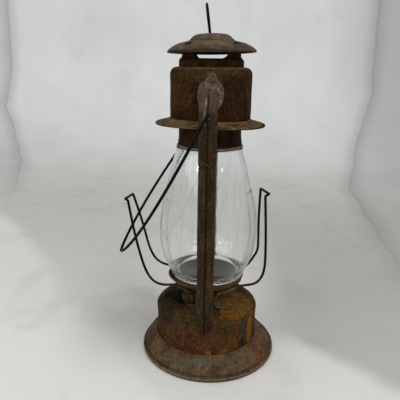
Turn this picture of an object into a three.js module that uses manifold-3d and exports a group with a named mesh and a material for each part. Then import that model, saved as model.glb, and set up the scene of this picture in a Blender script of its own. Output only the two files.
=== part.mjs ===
// Tubular kerosene lantern with a clear glass globe.
// Millimetres, +Z up, the lantern's axis on Z, its feet on z = 0, the two side tubes on +X and -X.
// The bail hangs towards -Y.
import * as THREE from "three";
import { mergeVertices } from "three/addons/utils/BufferGeometryUtils.js";
import Module from "manifold-3d";

const wasm = await Module();
wasm.setup();

// Driving dimensions
const GAP = 0.3;
const SHEET = 0.9;
const SIDES = 36;
const FEWER = 32;

// Base and fuel tank
const BASE_R = 75.3;
const BEAD_H = 5.2;
const TANK_R = 55.9;
const SKIRT_TOP = 21.2;
const BEAD_OUT = 2.7;
const SKIRT_SHEET = 1;
const RIM_ASIDE = 2.6;
const TANK_LOW = 16.2;
const TANK_SHOULDER = 54.8;
const TANK_TOP = 68.2;
const TANK_HOLE_R = 14;

// Filler, on the far shoulder of the tank
const FILLER_X = 28.9 - TANK_R;
const FILLER_Y = TANK_R - 25.9;
const FILLER_R = 7.2;
const FILLER_LOW = 57.5;
const FILLER_TOP = 72.6;
const CAP_R = 10.2;
const CAP_TOP = 74.6;

// Burner and wick
const COLLAR_R = 17.5;
const COLLAR_TOP = 73.2;
const BURNER_R = 16.4;
const DRUM_R = 21;
const SHAFT_Z = 79;
const SHAFT_R = 1.2;
const SHAFT_TURN = THREE.MathUtils.degToRad(-33);
const SHAFT_ASIDE = 5.6;
const WHEEL_R = 7.5;
const WHEEL_OUT = 43.2;
const WICK_WIDE = 10.4;
const WICK_THICK = 2;
const WICK_TUBE_TOP = 97;

// Globe plate and globe
const PLATE_LOW = 85.7;
const PLATE_RIM_R = 41.8;
const PLATE_RIM_Z = 91.7;
const PLATFORM_R = 33.6;
const PLATFORM_Z = 92.4;
const GLOBE_LOW = 87.4;
const GLOBE_TOP = 232.5;
const GLASS = 2;

// Side tubes
const TUBE_R = 8.35;
const TUBE_WALL = 1;
const TUBE_OUT = 62.4;
const TUBE_FOOT_OUT = 48.5;
const TUBE_FOOT_Z = 50;
const TUBE_BOW = 96;
const ELBOW_R = 17.5;
const ELBOW_Z = 283.6;

// Air chamber and canopy
const CHAMBER_R = 40.5;
const CHAMBER_LOW = 262.9;
const CHAMBER_TOP = 311.3;
const CHAMBER_ROUND = 7;
const CANOPY_R = 55.5;
const CANOPY_Z = 257.1;
const BORE_R = 32.4;

// Lifting hood
const PIPE_R = 31.9;
const FOOT_R = 34.2;
const FOOT_Z = 232.9;
const NECK_R = 28.8;
const NECK_Z = 321;
const SILL_Z = 318.2;
const WINDOW_TOP = 328.4;
const NECK_TOP = 332.4;
const BRIM_R = 43.6;
const BRIM_Z = 325.2;
const DOME_R = 22.6;
const DOME_LOW = 336.5;
const DOME_TOP = 342;
const LOOP_TOP = 369.5;
const LOOP_HALF = 13;
const LOOP_WIRE = 1.15;
const LOOP_ASIDE = -1.9;
const LOOP_LEAN = THREE.MathUtils.degToRad(7.5);

// Bail
const BAIL_WIRE = 1.5;
const PIVOT_Z = 272;
const BAIL_LENGTH = 186.3;
const BAIL_HALF = 76.7;
const ARCH_HALF = 70.5;
const ARCH_START = 43;
const ARCH_POWER = 1.35;
const BAIL_SWING = 31.5;
const BAIL_TWIST = 4.1;
const EAR_OUT = BAIL_HALF - 2.7;

// Wire guards
const GUARD_WIRE = 1.2;
const HINGE_Y = 29;
const HINGE_Z = 83.9;
const LEG_TOP_X = 16.7;
const LEG_LOW_X = 21;

// Points in the plane of a profile are given as (radius, height).
const at = (r, z) => new THREE.Vector3(r, z, 0);
const point = (x, y, z) => new THREE.Vector3(x, y, z);

// A polyline whose inner corners are replaced by arcs of the given radii.
function rounded(points, radii, step = 18) {
  const out = [points[0].clone()];
  for (let i = 1; i < points.length - 1; i++) {
    const r = Array.isArray(radii) ? radii[i - 1] : radii;
    const a = points[i - 1].clone().sub(points[i]).normalize();
    const b = points[i + 1].clone().sub(points[i]).normalize();
    const turn = Math.PI - a.angleTo(b);
    if (r === 0 || turn < 0.02) {
      out.push(points[i].clone());
      continue;
    }
    const reach = r * Math.tan(turn / 2);
    const inward = a.clone().add(b).normalize();
    const centre = points[i].clone().addScaledVector(inward, r / Math.cos(turn / 2));
    const first = points[i].clone().addScaledVector(a, reach).sub(centre);
    const last = points[i].clone().addScaledVector(b, reach).sub(centre);
    const axis = new THREE.Vector3().crossVectors(first, last).normalize();
    const steps = Math.max(1, Math.ceil(THREE.MathUtils.radToDeg(turn) / step));
    for (let k = 0; k <= steps; k++) {
      out.push(first.clone().applyAxisAngle(axis, (turn * k) / steps).add(centre));
    }
  }
  out.push(points[points.length - 1].clone());
  return out;
}

// A closed profile: the line given is one face of the sheet, the other lies to its right.
function sheet(line, thick = SHEET) {
  const other = line.map((p, i) => {
    const before = line[Math.max(i - 1, 0)];
    const after = line[Math.min(i + 1, line.length - 1)];
    const into = p.clone().sub(before);
    const away = after.clone().sub(p);
    if (into.lengthSq() === 0) into.copy(away);
    if (away.lengthSq() === 0) away.copy(into);
    const n1 = at(into.y, -into.x).normalize();
    const n2 = at(away.y, -away.x).normalize();
    const mid = n1.clone().add(n2).normalize();
    return p.clone().addScaledVector(mid, thick / Math.max(0.5, mid.dot(n1)));
  });
  return [...line, ...other.reverse(), line[0].clone()];
}

// Turns a geometry's faces outwards and drops those with no area.
function outward(geometry) {
  geometry.deleteAttribute("normal");
  geometry.deleteAttribute("uv");
  const merged = mergeVertices(geometry, 1e-4);
  const p = merged.attributes.position;
  const index = merged.index.array;
  const kept = [];
  let volume = 0;
  const a = new THREE.Vector3();
  const b = new THREE.Vector3();
  const c = new THREE.Vector3();
  for (let i = 0; i < index.length; i += 3) {
    const [u, v, w] = [index[i], index[i + 1], index[i + 2]];
    if (u === v || v === w || w === u) continue;
    kept.push(u, v, w);
    a.fromBufferAttribute(p, u);
    b.fromBufferAttribute(p, v);
    c.fromBufferAttribute(p, w);
    volume += a.dot(b.cross(c));
  }
  if (volume < 0) {
    for (let i = 0; i < kept.length; i += 3) {
      [kept[i + 1], kept[i + 2]] = [kept[i + 2], kept[i + 1]];
    }
  }
  merged.setIndex(kept);
  return merged;
}

// A profile turned about the Z axis.
function turned(profile, sides = SIDES) {
  const flat = profile.map((p) => new THREE.Vector2(Math.max(p.x, 0), p.y));
  return outward(new THREE.LatheGeometry(flat, sides).rotateX(Math.PI / 2));
}

// A flat outline carried along a path; up is the outline's first direction at the start.
function swept(path, outline, up) {
  const rings = [];
  let normal = up.clone();
  path.forEach((p, i) => {
    const before = path[Math.max(i - 1, 0)];
    const after = path[Math.min(i + 1, path.length - 1)];
    const along = after.clone().sub(before).normalize();
    normal = normal.clone().addScaledVector(along, -normal.dot(along)).normalize();
    const across = new THREE.Vector3().crossVectors(along, normal);
    rings.push(outline.map((o) => p.clone().addScaledVector(normal, o.x).addScaledVector(across, o.y)));
  });
  const n = outline.length;
  const positions = rings.flat().flatMap((v) => [v.x, v.y, v.z]);
  const faces = [];
  for (let i = 0; i + 1 < rings.length; i++) {
    for (let k = 0; k < n; k++) {
      const q = (k + 1) % n;
      const here = i * n;
      const next = here + n;
      faces.push(here + k, next + k, here + q, here + q, next + k, next + q);
    }
  }
  const cap = THREE.ShapeUtils.triangulateShape(outline, []);
  const end = (rings.length - 1) * n;
  for (const [u, v, w] of cap) {
    faces.push(u, v, w, end + u, end + w, end + v);
  }
  const geometry = new THREE.BufferGeometry();
  geometry.setAttribute("position", new THREE.Float32BufferAttribute(positions, 3));
  geometry.setIndex(faces);
  return outward(geometry);
}

function circle(radius, sides) {
  return Array.from({ length: sides }, (_, k) => {
    const t = (2 * Math.PI * (k + 0.5)) / sides;
    return new THREE.Vector2(radius * Math.cos(t), radius * Math.sin(t));
  });
}

// A round wire along a path.
function wire(path, radius, sides = 8) {
  const along = path[1].clone().sub(path[0]).normalize();
  const up = Math.abs(along.z) < 0.9 ? point(0, 0, 1) : point(1, 0, 0);
  return swept(path, circle(radius, sides), up);
}

// Booleans
function solid(geometry) {
  const bare = outward(geometry.clone());
  const mesh = new wasm.Mesh({
    numProp: 3,
    vertProperties: new Float32Array(bare.attributes.position.array),
    triVerts: new Uint32Array(bare.index.array),
  });
  return new wasm.Manifold(mesh);
}

function shape(body) {
  const mesh = body.getMesh();
  const positions = [];
  for (let i = 0; i < mesh.vertProperties.length; i += mesh.numProp) {
    positions.push(...mesh.vertProperties.subarray(i, i + 3));
  }
  const geometry = new THREE.BufferGeometry();
  geometry.setAttribute("position", new THREE.Float32BufferAttribute(positions, 3));
  geometry.setIndex(Array.from(mesh.triVerts));
  return geometry;
}

// A round bar from one point to another.
function bar(from, to, radius, sides = 20) {
  const along = to.clone().sub(from);
  const up = Math.abs(along.z) < 0.9 * along.length() ? point(0, 0, 1) : point(1, 0, 0);
  return swept([from, to], circle(radius, sides), up);
}

function block(sx, sy, sz, x, y, z) {
  return new THREE.BoxGeometry(sx, sy, sz).translate(x, y, z);
}

const lantern = new THREE.Group();
lantern.name = "lantern";

function add(name, geometry, colour, rough = 0.8, extra = {}) {
  const material = new THREE.MeshStandardMaterial({ color: colour, roughness: rough, ...extra });
  const mesh = new THREE.Mesh(geometry, material);
  mesh.name = name;
  mesh.geometry.computeVertexNormals();
  lantern.add(mesh);
  return mesh;
}

// Base skirt: a sloping sheet with a rolled bead, flat underneath, that the lantern stands on.
// It is bent, so its rim stands RIM_ASIDE to the rear of the tank.
// Distance from the axis at a share of the skirt's slope, from the tank to the bead.
const skirtOut = (share) => TANK_R + 1.3 + share * (BASE_R - BEAD_OUT - SKIRT_SHEET - TANK_R - 1.3);
const skirtProfile = [
  at(TANK_R + 0.4, SKIRT_TOP),
  at(TANK_R + 1.3, SKIRT_TOP),
  at(skirtOut(0.56), 16.2),
  at(BASE_R - BEAD_OUT - SKIRT_SHEET, BEAD_H + 1.6),
  at(BASE_R - BEAD_OUT, BEAD_H),
  at(BASE_R - 1, BEAD_H),
  at(BASE_R, BEAD_H - 1.5),
  at(BASE_R, 1.4),
  at(BASE_R - 1, 0),
  at(BASE_R - BEAD_OUT - 1.2, 0),
  at(BASE_R - BEAD_OUT - 2 * SKIRT_SHEET, BEAD_H + 0.2),
  at(skirtOut(0.56) - SKIRT_SHEET, 15.1),
  at(TANK_R + 0.4, SKIRT_TOP - 1.4),
  at(TANK_R + 0.4, SKIRT_TOP),
];
const skirt = turned(skirtProfile);
const skirtPoints = skirt.attributes.position;
for (let i = 0; i < skirtPoints.count; i++) {
  const bent = RIM_ASIDE * (1 - skirtPoints.getZ(i) / SKIRT_TOP);
  skirtPoints.setY(i, skirtPoints.getY(i) + bent);
}
add("base_skirt", skirt, 0x5f5044);

// Tank: wall and domed top in one sheet, open below, with holes for the burner and the filler
const tankLine = rounded(
  [
    at(TANK_R, TANK_LOW),
    at(TANK_R, TANK_SHOULDER),
    at(TANK_R - 8.9, 61),
    at(TANK_R - 24.9, 65.9),
    at(TANK_HOLE_R, TANK_TOP),
  ],
  [6, 0, 0],
  30,
);
const tankSheet = turned(sheet(tankLine.slice().reverse(), 1));
const tankOutside = turned([
  at(0, TANK_LOW - 2),
  at(TANK_R + GAP, TANK_LOW - 2),
  ...sheetOffset(tankLine, GAP).slice(1),
  at(0, TANK_TOP + GAP),
]);

// The same line moved outwards by a distance, for what is cut to stand clear of it.
function sheetOffset(line, by) {
  const loop = sheet(line.slice().reverse(), -by);
  return loop.slice(line.length, 2 * line.length);
}

const fillerAxis = (z) => point(FILLER_X, FILLER_Y, z);
const fillerHole = bar(fillerAxis(40), fillerAxis(90), FILLER_R + GAP, 24);
add("tank_shell", shape(solid(tankSheet).subtract(solid(fillerHole))), 0x5c4125);

const bottomLine = [
  at(TANK_R - 1.4, TANK_LOW + 0.6),
  at(TANK_R - 5.9, TANK_LOW + 0.6),
  at(TANK_R - 8.9, TANK_LOW + 3),
  at(0, TANK_LOW + 3),
];
add("tank_bottom", turned(sheet(bottomLine), FEWER), 0x4b3a2c);

// Filler neck with a bead, and its screw cap
const neckProfile = [
  at(FILLER_R, FILLER_LOW),
  at(FILLER_R, FILLER_TOP),
  at(FILLER_R - 1, FILLER_TOP),
  at(FILLER_R - 1, FILLER_LOW),
  at(FILLER_R, FILLER_LOW),
];
add("filler_neck", turned(neckProfile, 20).translate(FILLER_X, FILLER_Y, 0), 0x57452f);

const capLine = rounded(
  [at(CAP_R, CAP_TOP - 7), at(CAP_R, CAP_TOP), at(0, CAP_TOP)],
  [1.5],
  45,
);
const capBody = solid(turned(sheet(capLine.slice().reverse(), 1.2), 20).translate(FILLER_X, FILLER_Y, 0));
let capCut = capBody;
const FLUTES = 10;
for (let i = 0; i < FLUTES; i++) {
  const t = (2 * Math.PI * i) / FLUTES;
  const x = FILLER_X + (CAP_R + 0.5) * Math.cos(t);
  const y = FILLER_Y + (CAP_R + 0.5) * Math.sin(t);
  capCut = capCut.subtract(solid(bar(point(x, y, CAP_TOP - 8), point(x, y, CAP_TOP - 2), 1, 6)));
}
add("filler_cap", shape(capCut), 0x6a5636);

// Burner collar, screwed into the tank's top
const collarProfile = [
  at(TANK_HOLE_R - GAP, TANK_TOP - 6),
  at(TANK_HOLE_R - GAP, TANK_TOP + 0.5),
  at(COLLAR_R, TANK_TOP + 0.5),
  at(COLLAR_R, COLLAR_TOP - 0.8),
  at(COLLAR_R - 0.8, COLLAR_TOP),
  at(12.2, COLLAR_TOP),
  at(12.2, TANK_TOP - 6),
  at(TANK_HOLE_R - GAP, TANK_TOP - 6),
];
add("burner_collar", turned(collarProfile, 24), 0x4f3b26);

// Burner body: a cup that widens into the drum under the globe plate
const along = point(Math.cos(SHAFT_TURN), Math.sin(SHAFT_TURN), 0);
const aside = point(-Math.sin(SHAFT_TURN), Math.cos(SHAFT_TURN), 0);
const onShaft = (out, z = SHAFT_Z) =>
  along.clone().multiplyScalar(out).addScaledVector(aside, SHAFT_ASIDE).setZ(z);
const drumLine = [
  at(9, COLLAR_TOP + GAP),
  at(BURNER_R, COLLAR_TOP + GAP),
  at(BURNER_R, 82),
  at(DRUM_R, 84.2),
  at(DRUM_R, PLATFORM_Z - 0.9),
];
const drum = solid(turned(sheet(drumLine.slice().reverse()), 24));
const shaftHole = solid(bar(onShaft(5), onShaft(60), SHAFT_R + 0.06, 16));
add("burner_body", shape(drum.subtract(shaftHole)), 0x4a3826);

// Sleeve that carries the wick shaft outside the burner
const sleeve = solid(bar(onShaft(17.4), onShaft(29), 2.3, 16));
const burnerClear = solid(bar(point(0, 0, 70), point(0, 0, 84), BURNER_R + GAP, 28));
add("shaft_sleeve", shape(sleeve.subtract(burnerClear).subtract(shaftHole)), 0x4a3826);

// Wick shaft with its spur wheels and the thumb wheel
const shaftBar = solid(bar(onShaft(-9), onShaft(WHEEL_OUT + 1.6), SHAFT_R, 12));
const spurs = [-3.6, 3.6].map((out) => solid(bar(onShaft(out - 0.7), onShaft(out + 0.7), 2.9, 12)));
add("wick_shaft", shape(spurs.reduce((body, spur) => body.add(spur), shaftBar)), 0x3d3127);

const wheelDisc = solid(bar(onShaft(WHEEL_OUT - 1.1), onShaft(WHEEL_OUT + 1.1), WHEEL_R, 20));
const wheelBoss = solid(bar(onShaft(WHEEL_OUT - 3.4), onShaft(WHEEL_OUT + 2.6), 3.1, 16));
const wheelBore = solid(bar(onShaft(WHEEL_OUT - 9), onShaft(WHEEL_OUT + 1.9), SHAFT_R + GAP, 12));
let wheel = wheelDisc.add(wheelBoss).subtract(wheelBore);
const NOTCHES = 10;
for (let i = 0; i < NOTCHES; i++) {
  const t = (2 * Math.PI * i) / NOTCHES;
  const rimR = WHEEL_R + 0.35;
  const rim = aside.clone().multiplyScalar(rimR * Math.cos(t)).setZ(rimR * Math.sin(t));
  const from = onShaft(WHEEL_OUT - 2).add(rim);
  const to = onShaft(WHEEL_OUT + 2).add(rim);
  wheel = wheel.subtract(solid(bar(from, to, 0.75, 6)));
}
add("wick_wheel", shape(wheel), 0x6b3a22);

// Flat wick tube and the wick in it
const turnedBlock = (wide, thick, low, high) =>
  new THREE.BoxGeometry(wide, thick, high - low).rotateZ(SHAFT_TURN).translate(0, 0, (low + high) / 2);
const tubeOuter = solid(turnedBlock(WICK_WIDE + 2.4, WICK_THICK + 2, 64, WICK_TUBE_TOP));
const tubeInner = solid(turnedBlock(WICK_WIDE + 0.8, WICK_THICK + 0.6, 60, WICK_TUBE_TOP + 4));
add("wick_tube", shape(tubeOuter.subtract(tubeInner)), 0x7a6236);
add("wick", turnedBlock(WICK_WIDE, WICK_THICK, 40, WICK_TUBE_TOP + 0.8), 0xb8ad98, 0.95);

// Globe plate: a low platform, a channel that the globe stands in, and a flared rim
const plateLine = rounded(
  [
    at(8, PLATFORM_Z + 2),
    at(24, PLATFORM_Z + 1.3),
    at(PLATFORM_R - 0.4, PLATFORM_Z),
    at(PLATFORM_R + 0.5, PLATFORM_Z - 1),
    at(PLATFORM_R + 0.9, PLATE_LOW + 1),
    at(38.2, PLATE_LOW + 1),
    at(39.2, PLATE_LOW + 1.8),
    at(PLATE_RIM_R - 1.4, PLATE_RIM_Z - 1),
    at(PLATE_RIM_R - 0.4, PLATE_RIM_Z),
  ],
  0,
);
add("globe_plate", turned(sheet(plateLine), FEWER), 0x5f5244);

// Burner cone over the wick, with a slot for the flame
const coneLine = rounded(
  [at(9.2, PLATFORM_Z + 3.2), at(8, PLATFORM_Z + 3.4), at(7.7, 100.4), at(0, 102.6)],
  [0, 3],
  60,
);
const cone = solid(turned(sheet(coneLine, -0.7), 20));
const flameSlot = solid(turnedBlock(WICK_WIDE + 1, 3.2, 98.4, 110));
add("burner_cone", shape(cone.subtract(flameSlot)), 0x6f6558);

// Globe: blown glass, open at both ends
const globeOutside = [
  at(37, GLOBE_LOW),
  at(39.2, 92.6),
  at(44.6, 104),
  at(48.6, 113.5),
  at(51.6, 129),
  at(52.5, 146),
  at(50.9, 163),
  at(46.2, 184),
  at(40, 210),
  at(35.8, 224.5),
  at(34.4, 229),
  at(34.1, GLOBE_TOP),
];
add("globe", turned(sheet(globeOutside.slice().reverse(), GLASS), SIDES), 0xdfe6e4, 0.05, {
  transparent: true,
  opacity: 0.35,
});

// Side tubes: bowed in at the tank, with a seam down the outer face and an elbow into the chamber
const footTurn = 2 * Math.atan((TUBE_OUT - TUBE_FOOT_OUT) / 50);
const bowLow = TUBE_FOOT_Z + 50;
const bowPath = [];
const BOW_STEPS = 5;
for (let i = BOW_STEPS; i >= 0; i--) {
  const t = (footTurn * i) / BOW_STEPS;
  bowPath.push(point(TUBE_OUT - TUBE_BOW * (1 - Math.cos(t)), 0, bowLow - TUBE_BOW * Math.sin(t)));
}
const elbowPath = rounded(
  [point(TUBE_OUT, 0, bowLow + 5), point(TUBE_OUT, 0, ELBOW_Z), point(36, 0, ELBOW_Z)],
  ELBOW_R,
  18,
);
const tubePath = [...bowPath, ...elbowPath.slice(1)];
const SEAM = [
  [0, -0.5],
  [5, -0.5],
  [9, 0.75],
  [16, 0.6],
  [22, 0],
];
const seamed = [];
for (const [degrees, rise] of SEAM) seamed.push([degrees, rise]);
for (let i = 0; i < 12; i++) seamed.push([38 + (284 * i) / 11, 0]);
for (const [degrees, rise] of SEAM.slice(1).reverse()) seamed.push([360 - degrees, rise]);
const tubeOutline = seamed.map(([degrees, rise]) => {
  const t = THREE.MathUtils.degToRad(degrees);
  const r = TUBE_R + rise;
  return new THREE.Vector2(r * Math.cos(t), r * Math.sin(t));
});
const tubeOutside = solid(swept(tubePath, tubeOutline, point(1, 0, 0)));
const tubeInside = solid(swept(tubePath, circle(TUBE_R - TUBE_WALL, 10), point(1, 0, 0)));
const chamberClear = solid(bar(point(0, 0, 255), point(0, 0, 320), CHAMBER_R + GAP, 96));
const tankClear = solid(tankOutside);
const sideTube = tubeOutside.subtract(tubeInside).subtract(tankClear).subtract(chamberClear);

// Collar round each tube where it enters the chamber, and the rivet head above it
const collarRing = turned(
  [
    at(TUBE_R + 1.05, 40),
    at(13.2, 40),
    at(13, 42),
    at(11.2, 44.2),
    at(10.4, 48),
    at(TUBE_R + 1.05, 48),
    at(TUBE_R + 1.05, 40),
  ],
  24,
)
  .rotateY(Math.PI / 2)
  .scale(1, 0.93, 1)
  .translate(-1, 0, ELBOW_Z);
const collarCut = solid(collarRing).subtract(tubeOutside).subtract(chamberClear);
const rivetHead = solid(bar(point(36, 0, 302.4), point(42.6, 0, 302.4), 4.4, 20));
const rivetDimple = solid(bar(point(41.6, 0, 302.4), point(50, 0, 302.4), 2, 12));
const rivet = rivetHead.subtract(rivetDimple).subtract(chamberClear);

// Ear on each tube, bored for the end of the bail
const tubeClear = solid(swept(tubePath, circle(TUBE_R + 1.05, 28), point(1, 0, 0)));
const earBoss = solid(bar(point(66, 0, PIVOT_Z), point(EAR_OUT, 0, PIVOT_Z), 4.3, 20));
const earPlate = solid(block(12, 8.6, 13, 66.3, 0, PIVOT_Z - 3.2));
const earBore = solid(bar(point(71.2, 0, PIVOT_Z), point(90, 0, PIVOT_Z), BAIL_WIRE + 0.08, 20));
const ear = earBoss.add(earPlate).subtract(tubeClear).subtract(earBore);

[1, -1].forEach((sign, i) => {
  const half = sign === 1 ? 0 : 180;
  const placed = (body) => shape(body.rotate([0, 0, half]));
  add(`side_tube_${i + 1}`, placed(sideTube), 0x4b3f33);
  add(`tube_collar_${i + 1}`, placed(largest(collarCut)), 0x453627);
  add(`chamber_rivet_${i + 1}`, placed(rivet), 0x5a5346);
  add(`bail_ear_${i + 1}`, placed(largest(ear)), 0x4a3d30);
});

// The largest of the bodies a cut leaves.
function largest(body) {
  const pieces = body.decompose();
  return pieces.reduce((best, next) => (next.volume() > best.volume() ? next : best), pieces[0]);
}

// Air chamber, with a round shoulder and holes where the tubes enter
const chamberLine = rounded(
  [at(CHAMBER_R, CHAMBER_LOW), at(CHAMBER_R, CHAMBER_TOP), at(BORE_R, CHAMBER_TOP)],
  [CHAMBER_ROUND],
  23,
);
const chamberSheet = solid(turned(sheet(chamberLine.slice().reverse())));
const tubeHoles = solid(bar(point(-60, 0, ELBOW_Z), point(60, 0, ELBOW_Z), TUBE_R - TUBE_WALL, 20));
add("air_chamber", shape(chamberSheet.subtract(tubeHoles)), 0x2e1f14);

// Canopy: floor of the chamber, reaching out as a flange
const canopyLine = rounded(
  [
    at(BORE_R, CHAMBER_LOW - 0.6),
    at(CHAMBER_R + 1, CHAMBER_LOW - 0.6),
    at(CANOPY_R - 1.2, CANOPY_Z + 1.2),
    at(CANOPY_R, CANOPY_Z),
  ],
  0,
);
const flangeNotch = solid(bar(point(TUBE_OUT, 0, 240), point(TUBE_OUT, 0, 270), TUBE_R + GAP, 24));
const canopy = [0, 180].reduce(
  (body, half) => body.subtract(flangeNotch.rotate([0, 0, half])),
  solid(turned(sheet(canopyLine))),
);
add("canopy_flange", shape(canopy), 0x46351f);

// Chimney: one pipe from the foot on the globe to the two windows under the cap
const pipeLine = [
  at(PIPE_R - 0.8, FOOT_Z),
  at(FOOT_R - 0.6, FOOT_Z),
  at(FOOT_R, FOOT_Z + 0.7),
  at(FOOT_R, FOOT_Z + 2),
  at(FOOT_R - 0.8, FOOT_Z + 2.9),
  at(PIPE_R, FOOT_Z + 3.6),
  at(PIPE_R, SILL_Z - 1),
  at(NECK_R, NECK_Z),
  at(NECK_R, NECK_TOP),
  at(NECK_R - 0.9, NECK_TOP),
  at(NECK_R - 0.9, NECK_Z - 0.2),
  at(PIPE_R - 0.9, SILL_Z - 1.2),
  at(PIPE_R - 0.9, FOOT_Z + 3),
  at(PIPE_R - 0.8, FOOT_Z),
];
let chimney = solid(turned(pipeLine));
const windowCorners = rounded(
  [at(19, WINDOW_TOP), at(12.5, SILL_Z), at(-12.5, SILL_Z), at(-19, WINDOW_TOP)],
  8,
  16,
);
const windowShape = new THREE.Shape(windowCorners.map((p) => new THREE.Vector2(p.x, p.y)));
const windowBlock = new THREE.ExtrudeGeometry(windowShape, { depth: 30, bevelEnabled: false })
  .rotateX(Math.PI / 2)
  .translate(0, -15, 0);
[1, -1].forEach((sign) => {
  chimney = chimney.subtract(solid(windowBlock.clone().rotateZ((Math.PI / 2) * sign)));
});
add("chimney", shape(chimney), 0x301c10);

// Cap: a crowned brim with two vent slots, and a low dome on it
const brimLine = rounded(
  [
    at(19.4, 335.6),
    at(DOME_R + 1, 335.2),
    at(33, 332.8),
    at(40, 328.9),
    at(BRIM_R - 0.5, BRIM_Z + 1),
    at(BRIM_R, BRIM_Z),
  ],
  [0, 0, 12, 0],
  30,
);
let brim = solid(turned(sheet(brimLine)));
[1, -1].forEach((sign) => {
  brim = brim.subtract(solid(block(8.5, 4, 12, 0, sign * 25, 335)));
});
add("cap_brim", shape(brim), 0x5a4e41);

const domeLine = rounded(
  [
    at(DOME_R, DOME_LOW),
    at(DOME_R - 2.2, DOME_LOW + 1),
    at(DOME_R - 4.6, DOME_LOW + 3.4),
    at(14.5, DOME_TOP - 0.6),
    at(9, DOME_TOP),
    at(0, DOME_TOP),
  ],
  [2.5, 2, 3, 0],
  30,
);
add("cap_dome", turned(sheet(domeLine.slice().reverse()), 28), 0x5c5043);

// Lift loop on the dome, in the plane of the tubes
const loopRise = LOOP_TOP - LOOP_WIRE - DOME_TOP;
const loopPath = rounded(
  [
    point(-6, 0, LOOP_WIRE * 0.6),
    point(-LOOP_HALF, 0, 12),
    point(-LOOP_HALF, 0, loopRise),
    point(LOOP_HALF, 0, loopRise),
    point(LOOP_HALF, 0, 12),
    point(6, 0, LOOP_WIRE * 0.6),
  ],
  [6, LOOP_HALF - 0.1, LOOP_HALF - 0.1, 6],
  20,
);
const loopFoot = point(0, LOOP_ASIDE, DOME_TOP + 0.2);
const leaned = loopPath.map((p) => p.applyAxisAngle(point(1, 0, 0), LOOP_LEAN).add(loopFoot));
const loopSolid = solid(wire(leaned, LOOP_WIRE));
const domeClear = solid(
  turned([at(0, 330), at(DOME_R + GAP, 330), ...sheetOffset(domeLine, GAP)], 28),
);
add("lift_loop", shape(largest(loopSolid.subtract(domeClear))), 0x1d1712, 0.6);

// Bail: a pointed wire arch whose ends turn in to the ears, a little twisted where it has been bent
const bailHalf = [point(72, 0, 0), point(BAIL_HALF, 0, 0)];
const ARCH_STEPS = 13;
for (let i = 0; i <= ARCH_STEPS; i++) {
  const t = (Math.PI / 2) * (i / ARCH_STEPS);
  const wide = ARCH_HALF * Math.cos(t) ** ARCH_POWER;
  const down = ARCH_START + (BAIL_LENGTH - ARCH_START) * Math.sin(t) ** ARCH_POWER;
  bailHalf.push(point(i === ARCH_STEPS ? 0 : wide, 0, -down));
}
const otherHalf = bailHalf.slice(0, -1).reverse();
const bailFlat = [...bailHalf, ...otherHalf.map((p) => point(-p.x, p.y, p.z))];
const bailBends = bailFlat.slice(1, -1).map((p) => (p.z === 0 ? 2.2 : 0));
const bailPath = rounded(bailFlat, bailBends, 24).map((p) => {
  const swing = THREE.MathUtils.degToRad((BAIL_TWIST * p.x) / BAIL_HALF - BAIL_SWING);
  return p.applyAxisAngle(point(1, 0, 0), swing).add(point(0, 0, PIVOT_Z));
});
add("bail", wire(bailPath, BAIL_WIRE), 0x1a1410, 0.6);

// Wire guards: hairpins whose ends are pins in a hinge sleeve under the globe plate.
// Each leg is a smooth line through (distance from the axis, height) from its foot to its top.
const guards = {
  rear_guard: {
    side: 1,
    near: [at(38, 85.3), at(45, 86.6), at(52.4, 88.9), at(58.5, 95.2), at(61.7, 104.5), at(62.5, 121), at(61.3, 149), at(58.7, 185.4)],
    far: [at(38.5, 85.2), at(46, 91), at(52.1, 100.6), at(55.9, 108), at(57, 120), at(56.1, 147), at(56.3, 184.6)],
    tip: at(62.3, 187.9),
  },
  front_guard: {
    side: -1,
    near: [at(38, 83.4), at(47.4, 83.1), at(54, 84.9), at(58.6, 88.2), at(65.8, 99.4), at(71.1, 115.4), at(75.1, 131.2), at(83.8, 176.7)],
    far: [at(40, 85.4), at(48.4, 87.4), at(54.5, 89.6), at(59.4, 93), at(64.7, 100.4), at(69.1, 112), at(73.2, 129.6), at(85.3, 174.2)],
    tip: at(86.8, 178.2),
  },
};
const LEG_STEPS = 13;
const legX = (z) => LEG_LOW_X + ((LEG_TOP_X - LEG_LOW_X) * (Math.max(z, 90) - 90)) / 90;

for (const [name, { side, near, far, tip }] of Object.entries(guards)) {
  const leg = (points, sign) => {
    const line = points.map((p) => point(sign * legX(p.y), side * p.x, p.y));
    return new THREE.CatmullRomCurve3(line).getPoints(LEG_STEPS);
  };
  const path = [
    point(3, side * HINGE_Y, HINGE_Z),
    point(LEG_LOW_X, side * HINGE_Y, HINGE_Z),
    ...leg(near, 1),
    point(LEG_TOP_X - 0.6, side * tip.x, tip.y),
    ...leg(far, -1).reverse(),
    point(-LEG_LOW_X, side * HINGE_Y, HINGE_Z),
    point(-3, side * HINGE_Y, HINGE_Z),
  ];
  const straight = new Array(LEG_STEPS).fill(0);
  const bends = [2.4, ...straight, 1.6, 1.6, 1.6, ...straight, 2.4];
  add(name, wire(rounded(path, bends, 26), GUARD_WIRE, 7), 0x17120e, 0.6);
}

const SLEEVE_HALF = 14;
[1, -1].forEach((sign, i) => {
  const from = point(-SLEEVE_HALF, sign * HINGE_Y, HINGE_Z);
  const to = point(SLEEVE_HALF, sign * HINGE_Y, HINGE_Z);
  const body = solid(bar(from, to, 2.1, 14));
  const bore = solid(bar(from.clone().setX(-30), to.clone().setX(30), GUARD_WIRE + 0.06, 16));
  add(`guard_hinge_${i + 1}`, shape(body.subtract(bore)), 0x3a2c20);
});

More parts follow.
